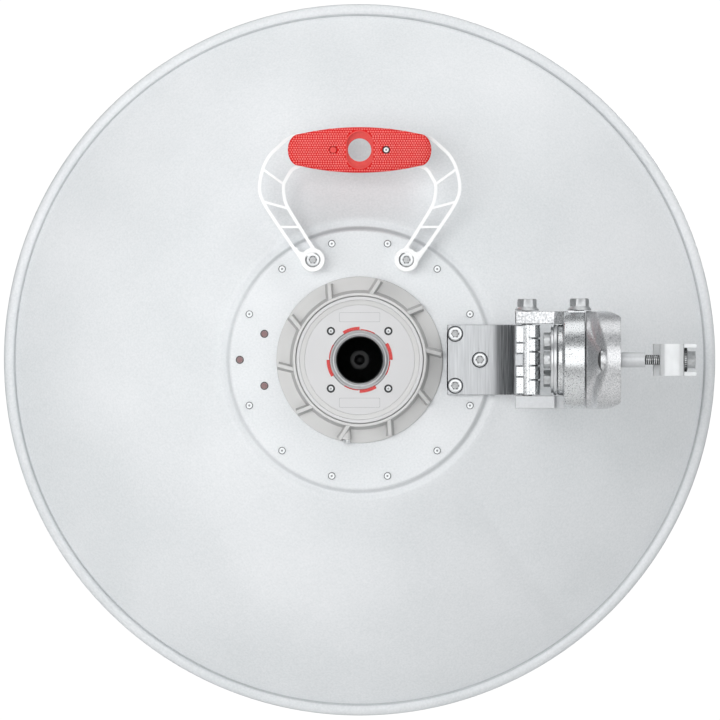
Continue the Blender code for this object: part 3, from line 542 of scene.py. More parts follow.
# A rib is 2.8 mm thick at its top and widens to its foot, for draft
rib_rings = []
for (near, low), (far, high) in (mm((4.7, -1), (3.5, -1)), mm((1.4, -15.7), (1.3, -8.2))):
    rib_rings.append([(-near, 0, low), (near, 0, low), (far, -RIB_REACH, high), (-far, -RIB_REACH, high)])
lean = Matrix.Rotation(RIB_LEAN, 4, "Z")
rib = finished("rib", loft(bmesh.new(), rib_rings, lean), grey_asa)
ribs = around("port_housing_ribs", rib, grey_asa, RIB_ROOT, 10, RIB_START, 36)
softened(ribs, 0.4 * MM)
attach(ribs, "dish")
bpy.data.objects.remove(rib)

# The earth point: a tapered boss moulded on the skirt, with a small screw driven up into it from below.
foot = Matrix.Translation(DISH_CENTRE + Vector((-10, -7, 0)) * MM)
outline = mm((0, -50), (2.7, -50), (3.6, -61.3), (0, -61.3))
boss = lathed("earth_boss", grey_asa, rounded(outline, 0.5 * MM), foot)
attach(boss, "dish")
earth = lobed_screw("earth_screw_head", 2.6 * MM, 2.5 * MM, 1.1 * MM, 0)
for piece in earth:
    piece.data.transform(foot @ Matrix.Translation((0, 0, -61.6 * MM)))
    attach(piece, "dish")
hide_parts("earth_screw")

# The port's face: a paler ASA disc with a raised rim, set in the housing and held by four recessed screws.
# The red nylon lock ring shows through it in four lugs and four slivers round the metal collar.
PORT_SCREW_CIRCLE = 31.25 * MM
FACE_TOP = -14.4 * MM


def carve(thing, *cutters):
    """Cuts the cutters from the thing and removes them."""
    for cutter in cutters:
        step = thing.modifiers.new("cut", "BOOLEAN")
        step.operation = "DIFFERENCE"
        step.solver = "EXACT"
        step.object = cutter
        graph = bpy.context.evaluated_depsgraph_get()
        mesh = bpy.data.meshes.new_from_object(thing.evaluated_get(graph))
        thing.modifiers.clear()
        thing.data = mesh
        bpy.data.objects.remove(cutter)
    skin = thing.data.materials[0]
    thing.data.materials.clear()
    thing.data.materials.append(skin)
    outwards(thing.data)
    return thing


def arc(radius, first, last, steps):
    """Points round a circle, the angles clockwise from the top in degrees, in the dish's own X and Y."""
    turns = [math.radians(first + (last - first) * i / steps) for i in range(steps + 1)]
    return [(radius * math.sin(t), -radius * math.cos(t)) for t in turns]


def extruded(shape, outline, low, high, place=Matrix()):
    """Adds a prism with this outline, from low to high along local Z."""
    return loft(shape, [[(*point, z) for point in outline] for z in (low, high)], place)


def prism(name, skin, outline, start, end, place=Matrix()):
    """A prism between these two heights as an object in this material."""
    return finished(name, extruded(bmesh.new(), outline, *sorted((start, end)), place), skin)


pale_asa, tree, shader, spot = surface("Moulded pale grey ASA", "#DEDEDF", 0.5)
grain = add(tree, "ShaderNodeTexNoise", {"Vector": spot, "Scale": 1800, "Detail": 2})
bump = add(tree, "ShaderNodeBump", {"Strength": 0.06, "Distance": 0.05 * MM, "Height": grain})
flow = add(tree, "ShaderNodeTexNoise", {"Vector": spot, "Scale": 25, "Detail": 1})
tone = add(tree, "ShaderNodeMix", {0: flow, 6: linear("#D4D4D5"), 7: linear("#DBDBDC")}, data_type="RGBA")
wire(shader, {"Normal": bump, "Base Color": tone.outputs[2]})

outline = mm((23.3, -12.7), (48.6, -12.7), (48.6, -15.6), (46.4, -15.6), (46, -15.1), (46, -13.2))
outline += [(42.2 * MM, -13.2 * MM), (42.2 * MM, FACE_TOP), (23.3 * MM, FACE_TOP)]
face = lathed("port_face_disc", pale_asa, outline, TO_DISH, 192)
# The sloped band inside the face's rim is in the housing's darker grey, a painted shade for its slope
outline = mm((42.35, -13.1), (45.85, -13.1), (45.85, -14.8)) + [(42.4 * MM, FACE_TOP)]
shaded_band = lathed("port_face_inlay", grey_asa, outline, TO_DISH, 192)
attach(shaded_band, "dish")
outline = mm((0, -16), (3.25, -16), (3.25, -13.2), (0, -13.2))
well = lathed("well", pale_asa, outline)
wells = around("wells", well, pale_asa, PORT_SCREW_CIRCLE, 4, 45, 90)
bpy.data.objects.remove(well)
carve(face, wells)
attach(face, "dish")
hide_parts("port_face")
# A fine moulded line, grey with painted shade, frames each of two bare panels above and below the port
groove_shade_line = mottled("Painted shade along a moulded line", "#A8A9AA", 0.85, 0, 700, 2, "#A6A8A9", "#C6C7C8")
for name, z in (("port_panel_line_upper", 32.8 * MM), ("port_panel_line_lower", -33 * MM)):
    place = TO_DISH @ Matrix.Translation((0, -z, 0))
    plates = []
    for inset, proud in ((0, 0.03 * MM), (0.3 * MM, MM)):
        across, up = 15.7 * MM - inset, 3.7 * MM - inset
        corners = rounded([(-across, -up), (across, -up), (across, up), (-across, up)], MM, 4)
        plates.append(prism(name, groove_shade_line, corners, FACE_TOP - proud, FACE_TOP + MM + proud, place))
    line = carve(*plates)
    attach(line, "dish")
# Each screw sits in a near-black cup of painted shade at the bottom of its well
outline = mm((0, -13.25), (3.2, -13.25), (3.2, -14.2), (2, -13.6), (0, -13.6))
cup = lathed("cup", recess_shade, outline)
cups = around("port_screw_cups", cup, recess_shade, PORT_SCREW_CIRCLE, 4, 45, 90)
bpy.data.objects.remove(cup)
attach(cups, "dish")
head, recess = lobed_screw("port_screw", 1.95 * MM, 1 * MM, 0.8 * MM, -13.6 * MM)
for part, skin, name in ((head, zinc, "port_screw_heads"), (recess, shaded_steel, "port_screw_recesses")):
    ring = around(name, part, skin, PORT_SCREW_CIRCLE, 4, 45, 90, loose=30, seed=7)
    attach(ring, "dish")
    bpy.data.objects.remove(part)

red_nylon = mottled("Moulded red nylon", "#D9383A", 0.42, 0, 1100, 2, "#A81214", "#EC5854")
for name, inner, outer, span, first, top in (
    ("lock_ring_lugs", 22.95 * MM, 25.4 * MM, 31, -31, FACE_TOP - 0.25 * MM),
    ("lock_ring_slivers", 22.9 * MM, 23.6 * MM, 28, 2, FACE_TOP - 0.1 * MM),
):
    outline = arc(outer, 0, span, 12) + arc(inner, span, 0, 12)
    lug = prism("lug", red_nylon, outline, -13 * MM, top)
    lugs = around(name, lug, red_nylon, 0, 4, first, 90)
    bpy.data.objects.remove(lug)
    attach(lugs, "dish")
    if name == "lock_ring_lugs":
        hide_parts("lock_ring")

# The collar and the bore: a die-cast collar with a turned step, and inside it a near-black lining of the
# tube's bore, painted shade for the deep hole, at whose far end the feed's tip shows as a dark grey ring.
cast_collar, tree, shader, spot = surface("Turned die-cast zinc", "#CFD0D1", 0.45, 1)
patches = add(tree, "ShaderNodeTexNoise", {"Vector": spot, "Scale": 400, "Detail": 3})
dull = add(tree, "ShaderNodeMapRange", {0: patches, 1: 0.3, 2: 0.7, 3: 0.4, 4: 0.6})
wire(shader, {"Roughness": dull})
outline = mm(
    (18.2, -3.4), (22.8, -3.4), (22.8, -13.8), (22, -13.8), (20.5, -12.6), (19.6, -12.6), (18.9, -11.9),
    (18.2, -11.5)
)
collar = lathed("port_collar_ring", cast_collar, rounded(outline, 0.25 * MM), TO_DISH, 128)
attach(collar, "dish")
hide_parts("port_collar")

bore_shade = mottled("Near-black painted shade in the bore", "#050606", 0.55, 0, 300, 4, "#060808", "#141717")
outline = mm((17.5, -11.4), (18.1, -11.4), (18.1, 58), (17.5, 58))
liner = lathed("bore_liner", bore_shade, outline, TO_DISH, 96)
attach(liner, "dish")

# The feed: an aluminium tube through the hub, a black polyethylene cone in its end, and the small metal
# sub-reflector that the cone carries.
drawn_tube, tree, shader, spot = surface("Drawn aluminium tube", "#C4C6C8", 0.3, 1)
streaks = add(tree, "ShaderNodeMapping", {"Vector": spot, "Scale": (1, 0.03, 1)})
lines = add(tree, "ShaderNodeTexNoise", {"Vector": streaks, "Scale": 900, "Detail": 2})
dull = add(tree, "ShaderNodeMapRange", {0: lines, 1: 0.3, 2: 0.7, 3: 0.22, 4: 0.42})
wire(shader, {"Roughness": dull})
outline = mm((18.2, -3.1), (20, -3.1), (20, 112), (18.2, 112))
tube = lathed("feed_tube_drawn", drawn_tube, rounded(outline, 0.4 * MM), TO_DISH, 128)
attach(tube, "dish")
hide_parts("feed_tube")

polythene, tree, shader, spot = surface("Turned black polyethylene", "#383A3B", 0.38)
centred = add(tree, "ShaderNodeMapping", {"Vector": spot, "Location": -DISH_CENTRE})
grooves = add(
    tree, "ShaderNodeTexWave", {"Vector": centred, "Scale": 300, "Distortion": 0.6}, bands_direction="Y"
)
bump = add(tree, "ShaderNodeBump", {"Strength": 0.1, "Distance": 0.1 * MM, "Height": grooves})
wire(shader, {"Normal": bump})
outline = mm(
    (0, 70), (3.2, 68), (3.5, 60.4), (7.7, 60.4), (17.9, 84), (17.9, 112.3), (22, 112.3), (26, 124),
    (34, 138), (0, 138)
)
cone = lathed("feed_cone_turned", polythene, rounded(outline, 0.8 * MM), TO_DISH, 128)
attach(cone, "dish")
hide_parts("feed_cone")

outline = mm((0, 138.3), (38, 138.3), (38, 140.3), (35.5, 142.2), (0, 142.2))
plate = lathed("sub_reflector_plate", turned_plate, rounded(outline, 0.5 * MM), TO_DISH, 128)
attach(plate, "dish")
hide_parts("sub_reflector")

# The carrying handle: an open truss of white ASA, moulded in one with its two bosses, each held to the hub
# by a cap screw. Its rims are 10 mm deep and 2.5 mm thick, and its cross ribs are 1.8 mm thick.
HANDLE_BACK = -16 * MM
HANDLE_FRONT = -6 * MM
BOSS = (36 * MM, 76.9 * MM)
OUTSIDE = ((42.5, 74), (45.7, 78.8), (61.6, 101.8), (73.9, 121.1), (77, 132.6), (74.5, 146.6), (69.4, 156.9))
OUTSIDE_TOP = ((61.6, 164.6), (54.6, 170.3), (46, 173.5))
INSIDE = ((33, 84), (36.1, 86.4), (46.3, 102.4), (55.3, 117.2), (57.9, 124.9), (58.5, 133.9), (56.5, 139))
INSIDE_TOP = ((51.4, 146.6), (43.7, 149.6), (38, 151))
WEB = (
    (46, 77.5), (51, 86.5), (48.2, 86.4), (47.3, 84.7), (45.7, 83.3), (43.7, 82.8), (41.6, 83), (39.8, 84),
    (38.6, 85.9), (36.6, 87.6), (34.5, 82)
)
CROSS_RIBS = (((61.3, 102.2), (46.4, 102.2)), ((73.3, 121.4), (55.4, 116.6)), ((74, 146.4), (58.8, 135.4)))


def smooth_line(points):
    """A curve through the points, as more points."""
    steps = 6
    ends = [points[0], *points, points[-1]]
    made = []
    for a, b, c, d in zip(ends, ends[1:], ends[2:], ends[3:]):
        for k in range(steps):
            t = k / steps
            here = []
            for p, q, r, s in zip(a, b, c, d):
                bend, twist = 2 * p - 5 * q + 4 * r - s, 3 * q - p - 3 * r + s
                here.append(0.5 * (2 * q + (r - p) * t + bend * t**2 + twist * t**3))
            made.append(tuple(here))
    return made + [points[-1]]


def ribbon(shape, line, half, low, high, place):
    """Adds a strip of this half width along the line, from low to high along local Z."""
    sides = ([], [])
    for i, here in enumerate(line):
        before, after = Vector(line[max(i - 1, 0)]), Vector(line[min(i + 1, len(line) - 1)])
        normal = (after - before).orthogonal().normalized() * half
        sides[0].append(tuple(Vector(here) + normal))
        sides[1].append(tuple(Vector(here) - normal))
    rings = []
    for left, right in zip(*sides):
        rings.append([(*left, low), (*right, low), (*right, high), (*left, high)])
    return loft(shape, rings, place)


white_asa, tree, shader, spot = surface("Moulded white ASA", "#F8F9FA", 0.5)
grain = add(tree, "ShaderNodeTexNoise", {"Vector": spot, "Scale": 1200, "Detail": 3})
bump = add(tree, "ShaderNodeBump", {"Strength": 0.35, "Distance": 0.1 * MM, "Height": grain})
tone = add(tree, "ShaderNodeMix", {0: grain, 6: linear("#FBFCFC"), 7: linear("#FFFFFF")}, data_type="RGBA")
wire(shader, {"Normal": bump, "Base Color": tone.outputs[2]})

truss = bmesh.new()
for side in (-1, 1):
    web = [(side * x * MM, -z * MM) for x, z in WEB]
    extruded(truss, web, HANDLE_BACK + 0.1 * MM, HANDLE_FRONT - 0.1 * MM, TO_DISH)
    for points in (OUTSIDE + OUTSIDE_TOP, INSIDE + INSIDE_TOP):
        line = [(side * x * MM, -z * MM) for x, z in smooth_line(points)]
        ribbon(truss, line, 1.25 * MM, HANDLE_BACK, HANDLE_FRONT, TO_DISH)
    for start, end in CROSS_RIBS:
        line = [(side * x * MM, -z * MM) for x, z in (start, end)]
        ribbon(truss, line, 0.9 * MM, HANDLE_BACK + 0.3 * MM, HANDLE_FRONT - 0.3 * MM, TO_DISH)
    x, z = BOSS
    outline = mm((3.3, -0.3), (9.3, -0.3), (9.2, -16.4), (5.8, -16.4), (5.75, -12), (3.3, -12))
    turned(truss, rounded(outline, 0.5 * MM), TO_DISH @ Matrix.Translation((side * x, -z, 0)), 72)
truss = finished("handle_truss", truss, white_asa)
softened(truss, 0.35 * MM)
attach(truss, "dish")
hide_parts("handle_frame")


def cap_screw(shape, place, underside, head_height, end):
    """Adds a cap screw with a hexagon socket, its head towards local -Z and its shaft down to end."""
    top = underside - head_height
    outline = [
        (0, end),
        (3 * MM, end),
        (3 * MM, underside),
        (5.15 * MM, underside),
        (5.15 * MM, top + 0.6 * MM),
        (4.95 * MM, top + 0.15 * MM),
        (4.6 * MM, top),
        (3.5 * MM, top),
        (3.3 * MM, top + 0.3 * MM),
        (3.1 * MM, top + 0.4 * MM, 6),
        (3.05 * MM, top + 1.4 * MM, 6),
        (0, top + 1.4 * MM),
    ]
    return turned(shape, outline, place, 72)


def sockets(name, places, top):
    """Gives the cap screws at these places the wall of their sockets in near-black painted shade, and their
    dull drilled floor.
    """
    walls, floors = bmesh.new(), bmesh.new()
    for place in places:
        foot = top + 1.3 * MM
        wall = [(2.4 * MM, foot), (3 * MM, foot, 6), (3 * MM, top + 0.7 * MM, 6), (2.4 * MM, top + MM)]
        turned(walls, wall, place)
        turned(floors, [(0, foot), (2.35 * MM, foot), (2.3 * MM, top + 0.9 * MM), (0, top + 1.1 * MM)], place)
    for part, shape, skin in (("_walls", walls, recess_shade), ("_floors", floors, dull_steel)):
        piece = finished(name + part, shape, skin)
        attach(piece, "dish")


handle_screws = [TO_DISH @ Matrix.Translation((side * BOSS[0], -BOSS[1], 0)) for side in (-1, 1)]
sockets("handle_screw_socket", handle_screws, -15.7 * MM)
for place, name in zip(handle_screws, ("handle_screw_left", "handle_screw_right")):
    screw = finished(name + "_cap", cap_screw(bmesh.new(), place, -12.3 * MM, 3.4 * MM, -0.6 * MM), zinc)
    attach(screw, "dish")
    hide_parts(name)

# The grip: two red rubber halves screwed together round the truss's bar. The rubber is moulded with small
# six-sided studs for the hand, and it is smooth in the recess round the hole.
GRIP_CENTRE = Vector((0, -161.4 * MM, 0))
TO_GRIP = TO_DISH @ Matrix.Translation(GRIP_CENTRE)
GRIP_HALF_LENGTH = 55.2 * MM
GRIP_HALF_HEIGHT = 17.5 * MM
GRIP_SHOULDER = 46.5 * MM
GRIP_ARC = 202 * MM
RECESS = (9.9 * MM, 14.1 * MM)
GRIP_SCREW_X = 20.4 * MM
STUD_PITCH = 1.85 * MM


def cylinder(skin, radius, start, end, place=Matrix(), facets=48):
    """A cutter: a cylinder round the local Z axis, between these two heights."""
    low, high = sorted((start, end))
    return lathed("cylinder", skin, [(0, low), (radius, low), (radius, high), (0, high)], place, facets)


def grip_outline(shrink):
    """The grip's outline seen along its depth: two flat arcs and two elliptical ends, less this shrink."""
    steps = 20
    full = GRIP_HALF_HEIGHT - shrink
    shoulder_x = GRIP_SHOULDER - 0.4 * shrink
    shoulder_y = full * (1 - GRIP_SHOULDER**2 / (2 * GRIP_ARC * GRIP_HALF_HEIGHT))
    quarter = []
    for i in range(steps):
        t = math.pi / 2 * i / steps
        reach = GRIP_HALF_LENGTH - shrink - shoulder_x
        quarter.append((shoulder_x + reach * math.cos(t), shoulder_y * math.sin(t)))
    for i in range(steps):
        x = shoulder_x * (1 - i / steps)
        quarter.append((x, full - (full - shoulder_y) * (x / shoulder_x) ** 2))
    made = []
    for flip_x, flip_y, order in ((1, 1, 1), (-1, 1, -1), (-1, -1, 1), (1, -1, -1)):
        made += [(flip_x * x, flip_y * y) for x, y in quarter[::order]]
    return list(dict.fromkeys((round(x, 7), round(y, 7)) for x, y in made))


def stadium(width, height):
    """An upright outline with two straight sides and two round ends, from its half width and half height."""
    steps = 64
    made = []
    for i in range(steps):
        t = math.tau * (i + 0.5) / steps
        made.append((width * math.cos(t), width * math.sin(t) + math.copysign(height - width, math.sin(t))))
    return made


red_rubber = mottled("Moulded red rubber", "#E23B3D", 0.6, 0, 700, 2, "#DC0809", "#EE1214")
# The studs are a lighter red than the rubber round them, a painted highlight on their tops
stud_highlight_rubber = mottled("Red rubber studs painted lighter", "#FF6A6A", 0.65, 0, 500, 1, "#FF6865", "#FF9490")
smooth_rubber = mottled("Smooth red rubber", "#F0443F", 0.5, 0, 300, 2, "#E83A37", "#F7554F")
# What the rubber sends on to the paint beside it is nearly grey, so that the dish stays white there
for skin, gloss in ((red_rubber, 0.25), (stud_highlight_rubber, 0.25), (smooth_rubber, 0.5)):
    tree = skin.node_tree
    shader = tree.nodes["Principled BSDF"]
    red = shader.inputs["Base Color"].links[0].from_socket
    sent_on = add(tree, "ShaderNodeLightPath").outputs["Is Diffuse Ray"]
    share = add(tree, "ShaderNodeMath", {0: sent_on, 1: 0.85}, operation="MULTIPLY")
    shown = add(tree, "ShaderNodeMix", {0: share, 6: red, 7: linear("#A09C9C")}, data_type="RGBA")
    wire(shader, {"Base Color": shown.outputs[2], "Specular IOR Level": gloss})

tree, given, out = new_tree(
    "Studs on a grip",
    Object=["Surface", "Stud"],
    Float=["Pitch", "Half Length", "Half Height", "Start", "Direction", "Bare Width", "Bare Straight",
        "Screw Offset", "Screw Room"],
    Material=["Material"],
)
length = add(tree, "ShaderNodeMath", {0: given["Half Length"], 1: 2}, operation="MULTIPLY")
tall = add(tree, "ShaderNodeMath", {0: given["Half Height"], 1: 2}, operation="MULTIPLY")
row_pitch = add(tree, "ShaderNodeMath", {0: given["Pitch"], 1: math.sqrt(0.75)}, operation="MULTIPLY")
across = add(tree, "ShaderNodeMath", {0: length, 1: given["Pitch"]}, operation="DIVIDE")
down = add(tree, "ShaderNodeMath", {0: tall, 1: row_pitch}, operation="DIVIDE")
grid = add(
    tree, "GeometryNodeMeshGrid", {"Size X": length, "Size Y": tall, "Vertices X": across, "Vertices Y": down}
)
flat = add(tree, "ShaderNodeSeparateXYZ", {0: add(tree, "GeometryNodeInputPosition")})
row = add(tree, "ShaderNodeMath", {0: flat.outputs[1], 1: row_pitch}, operation="DIVIDE")
row = add(tree, "ShaderNodeMath", {0: row, 1: 0.5}, operation="ADD")
row = add(tree, "ShaderNodeMath", {0: row}, operation="FLOOR")
odd = add(tree, "ShaderNodeMath", {0: row, 1: 2}, operation="FLOORED_MODULO")
shift = add(tree, "ShaderNodeMath", {0: odd, 1: 0.5}, operation="MULTIPLY")
shift = add(tree, "ShaderNodeMath", {0: shift, 1: given["Pitch"]}, operation="MULTIPLY")
x = add(tree, "ShaderNodeMath", {0: flat, 1: shift}, operation="ADD")
source = add(tree, "ShaderNodeCombineXYZ", {0: x, 1: flat.outputs[1], 2: given["Start"]})
ray = add(tree, "ShaderNodeCombineXYZ", {2: given["Direction"]})
target = add(tree, "GeometryNodeObjectInfo", {"Object": given["Surface"]}, transform_space="ORIGINAL")
hit = add(
    tree,
    "GeometryNodeRaycast",
    {
        "Target Geometry": target.outputs["Geometry"],
        "Source Position": source,
        "Ray Direction": ray,
        "Ray Length": 1.0,
    },
)
slope = add(tree, "ShaderNodeSeparateXYZ", {0: hit.outputs["Hit Normal"]}).outputs[2]
slope = add(tree, "ShaderNodeMath", {0: slope}, operation="ABSOLUTE")
facing = add(tree, "ShaderNodeMath", {0: slope, 1: 0.3}, operation="GREATER_THAN")
side_x = add(tree, "ShaderNodeMath", {0: x}, operation="ABSOLUTE")
side_y = add(tree, "ShaderNodeMath", {0: flat.outputs[1]}, operation="ABSOLUTE")
past = add(tree, "ShaderNodeMath", {0: side_y, 1: given["Bare Straight"]}, operation="SUBTRACT")
past = add(tree, "ShaderNodeMath", {0: past, 1: 0}, operation="MAXIMUM")
# No stud stands in the recess round the hole or on the screws
reach = add(tree, "ShaderNodeCombineXYZ", {0: side_x, 1: past})
reach = add(tree, "ShaderNodeVectorMath", {0: reach}, operation="LENGTH").outputs["Value"]
clear = add(tree, "ShaderNodeMath", {0: reach, 1: given["Bare Width"]}, operation="GREATER_THAN")
beside = add(tree, "ShaderNodeMath", {0: side_x, 1: given["Screw Offset"]}, operation="SUBTRACT")
apart = add(tree, "ShaderNodeCombineXYZ", {0: beside, 1: side_y})
apart = add(tree, "ShaderNodeVectorMath", {0: apart}, operation="LENGTH").outputs["Value"]
roomy = add(tree, "ShaderNodeMath", {0: apart, 1: given["Screw Room"]}, operation="GREATER_THAN")
keep = add(tree, "ShaderNodeMath", {0: facing, 1: clear}, operation="MULTIPLY")
keep = add(tree, "ShaderNodeMath", {0: keep, 1: roomy}, operation="MULTIPLY")
keep = add(tree, "ShaderNodeMath", {0: keep, 1: hit.outputs["Is Hit"]}, operation="MULTIPLY")
drop = add(tree, "FunctionNodeBooleanMath", {0: keep}, operation="NOT")
kept = add(
    tree,
    "GeometryNodeStoreNamedAttribute",
    {"Geometry": grid, "Name": "facing", "Value": hit.outputs["Hit Normal"]},
    data_type="FLOAT_VECTOR",
)
kept = {"Geometry": kept, "Name": "drop", "Value": drop}
kept = add(tree, "GeometryNodeStoreNamedAttribute", kept, data_type="BOOLEAN")
kept = add(tree, "GeometryNodeSetPosition", {"Geometry": kept, "Position": hit.outputs["Hit Position"]})
dropped = add(tree, "GeometryNodeInputNamedAttribute", {"Name": "drop"}, data_type="BOOLEAN")
kept = add(tree, "GeometryNodeDeleteGeometry", {"Geometry": kept, "Selection": dropped}, domain="POINT")
normal = add(tree, "GeometryNodeInputNamedAttribute", {"Name": "facing"}, data_type="FLOAT_VECTOR")
aligned = add(tree, "FunctionNodeAlignRotationToVector", {"Vector": normal}, axis="Z")
stud = add(tree, "GeometryNodeObjectInfo", {"Object": given["Stud"]}, transform_space="ORIGINAL")
placed = add(
    tree,
    "GeometryNodeInstanceOnPoints",
    {"Points": kept, "Instance": stud.outputs["Geometry"], "Rotation": aligned},
)
close_tree(tree, placed, given["Material"], out)

outline = mm((0, -0.3), (0.8, -0.3, 6), (0.78, 0, 6), (0.62, 0.5, 6), (0, 0.5))
stud = lathed("stud", stud_highlight_rubber, outline, facets=6, sharp=15)
for name, node, split, end in (
    ("grip_back", "grip_rear", -11.15 * MM, -26.4 * MM),
    ("grip_inner", "grip_front", -10.85 * MM, 3.4 * MM),
):
    rings = []
    side = math.copysign(1, end - split)
    for height, shrink in ((split, 0.3 * MM), (split + side * 0.5 * MM, 0)):
        rings.append([(*p, height) for p in grip_outline(shrink)])
    round_off = 5.5 * MM
    for k in range(9):
        t = math.pi / 2 * k / 8
        height, shrink = end - side * round_off * (1 - math.sin(t)), round_off * (1 - math.cos(t))
        rings.append([(*p, height) for p in grip_outline(shrink)])
    # The middle of the face stands a little proud, so that the palm meets a crown
    for inset, crown in ((9 * MM, 0.35 * MM), (13 * MM, 0.55 * MM)):
        rings.append([(*p, end + side * crown) for p in grip_outline(inset)])
    half = finished(name, loft(bmesh.new(), rings), red_rubber)
    studs = grown(
        name + "_studs",
        tree,
        {
            "Surface": half,
            "Stud": stud,
            "Pitch": STUD_PITCH,
            "Half Length": GRIP_HALF_LENGTH,
            "Half Height": GRIP_HALF_HEIGHT,
            "Start": side * 0.05,
            "Direction": -side,
            "Bare Width": RECESS[0] + 1.3 * MM,
            "Bare Straight": RECESS[1] - RECESS[0],
            "Screw Offset": GRIP_SCREW_X,
            "Screw Room": 3.4 * MM,
            "Material": stud_highlight_rubber,
        },
        TO_GRIP,
        sharp=15,
    )
    sunk = end - side * 3 * MM
    outside = end + side * 9 * MM
    recess = prism("recess", red_rubber, stadium(*RECESS), sunk, outside)
    hole = cylinder(red_rubber, 9 * MM, split - side * MM, outside, facets=96)
    slot = mm((-60, -10.5), (60, -10.5), (60, 12.5), (-60, 12.5))
    slot = prism("slot", red_rubber, slot, split - side * MM, split + side * 5.3 * MM)
    cutters = [recess, hole, slot]
    for x in (-GRIP_SCREW_X, GRIP_SCREW_X):
        place = Matrix.Translation((x, 0, 0))
        cutters.append(cylinder(red_rubber, 3.1 * MM, end - side * 2.2 * MM, outside, place))
    carve(half, *cutters)
    half.data.transform(TO_GRIP)
    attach(half, "dish")
    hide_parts(node)
    # A smooth border runs round the recess and covers its floor
    outline = stadium(RECESS[0] + 0.8 * MM, RECESS[1] + 0.8 * MM)
    border = prism(name + "_border", smooth_rubber, outline, sunk - side * 0.2 * MM, end + side * 0.75 * MM)
    outline = stadium(RECESS[0] - 0.05 * MM, RECESS[1] - 0.05 * MM)
    inner = prism("inner", smooth_rubber, outline, sunk + side * 0.1 * MM, outside)
    carve(border, inner, cylinder(smooth_rubber, 8.95 * MM, sunk - side * MM, outside, facets=96))
    border.data.transform(TO_GRIP)
    softened(border, 0.3 * MM)
    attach(border, "dish")
    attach(studs, "dish")
bpy.data.objects.remove(stud)

place = TO_GRIP @ Matrix.Translation((GRIP_SCREW_X, 0, 0))
# A near-black ring of painted shade lines the well round the screw's head
outline = mm((2.35, -24.3), (3, -24.3), (3, -25.6), (2.35, -25.2))
ring = lathed("grip_screw_well", recess_shade, outline, place)
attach(ring, "dish")
for piece in lobed_screw("grip_screw_head", 2.2 * MM, 1.6 * MM, 0.85 * MM, -24.2 * MM):
    piece.data.transform(place)
    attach(piece, "dish")
place = TO_GRIP @ Matrix.Translation((-GRIP_SCREW_X, 0, 0))
outline = mm((0, -24), (2.6, -24), (2.6, -26.2), (2.4, -26.5), (0, -26.5))
plug = lathed("grip_blind_plug", smooth_rubber, outline, place)
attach(plug, "dish")

# The side arm: a bent aluminium extrusion, cut to length and brushed along its height, so that it is streaked
# upright. Its far end is a knuckle with grooves, bored for the azimuth pivot.
ARM_BACK = -0.3 * MM
ARM_WALL = 5 * MM
ARM_HALF_HEIGHT = 27 * MM
BEND = 18.5 * MM
PIVOT = Vector((-57.5, 0, 0)) * MM
ARM_SCREWS = ((73.5 * MM, 20 * MM), (92.5 * MM, 0), (73.5 * MM, -20 * MM))
GROOVES = (16.6 * MM, 6.1 * MM, -4.5 * MM, -15.4 * MM)

# The brush leaves short fine streaks on the flat, and inside the bend the streaks are painted much darker, a
# painted dark reflection
BEND_START = -83 * MM
BEND_MIDDLE = -74 * MM
brushed, tree, shader, spot = surface("Aluminium brushed upright", "#C6C8CA", 0.3, 1)
streaks = add(tree, "ShaderNodeMapping", {"Vector": spot, "Scale": (1, 1, 0.02)})
coarse = add(tree, "ShaderNodeTexNoise", {"Vector": streaks, "Scale": 900, "Detail": 3, "Roughness": 0.7})
fine = add(tree, "ShaderNodeTexNoise", {"Vector": streaks, "Scale": 2600, "Detail": 2})
blend = add(tree, "ShaderNodeMath", {0: coarse, 1: fine}, operation="ADD")
tone = add(tree, "ShaderNodeMapRange", {0: blend, 1: 0.75, 2: 1.25})
along_x = add(tree, "ShaderNodeSeparateXYZ", {0: spot})
bend_shade = add(
    tree, "ShaderNodeMapRange", {0: along_x, 1: BEND_START, 2: BEND_MIDDLE}, interpolation_type="SMOOTHSTEP"
)
colour = {0: bend_shade}
for socket, dark in ((6, "#B2B4B6"), (7, "#4C4E50")):
    streaked = add(tree, "ShaderNodeMix", {0: tone, 6: linear(dark), 7: linear("#C6C8CA")}, data_type="RGBA")
    colour[socket] = streaked.outputs[2]
colour = add(tree, "ShaderNodeMix", colour, data_type="RGBA")
dull = add(tree, "ShaderNodeMapRange", {0: tone, 3: 0.42, 4: 0.34})
bump = add(tree, "ShaderNodeBump", {"Strength": 0.06, "Distance": 0.02 * MM, "Height": blend})
wire(shader, {"Base Color": colour.outputs[2], "Roughness": dull, "Normal": bump})


def bow(centre, radius, first, last, steps):
    """Points round a centre in the row's X and Y, the angles in degrees from +X."""
    turns = [math.radians(first + (last - first) * i / steps) for i in range(steps + 1)]
    return [(centre[0] + radius * math.cos(t), centre[1] + radius * math.sin(t)) for t in turns]


left, bend_x, right = (x * MM - 186 * MM for x in (67.5, 100, 118.5))
back = 60 * MM + ARM_BACK
middle = (bend_x, back - ARM_WALL - BEND)
outline = (
    [(left, back), (left, back - ARM_WALL)]
    + bow(middle, BEND, 90, 0, 24)
    + [(right, PIVOT.y), (right + ARM_WALL, PIVOT.y)]
    + bow(middle, BEND + ARM_WALL, 0, 90, 24)
)
arm = prism("side_arm_extrusion", brushed, outline, -ARM_HALF_HEIGHT, ARM_HALF_HEIGHT)
cutters = []
for x, z in ARM_SCREWS:
    outline = mm((0, -8), (5.9, -8), (5.8, -3.9), (3.3, -3.9), (3.3, 2), (0, 2))
    place = TO_DISH @ Matrix.Translation((x, -z, 0))
    cutters.append(lathed("hole", brushed, outline, place, 72))
carve(arm, *cutters)
softened(arm, 0.5 * MM)
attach(arm, "dish")
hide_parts("side_arm")

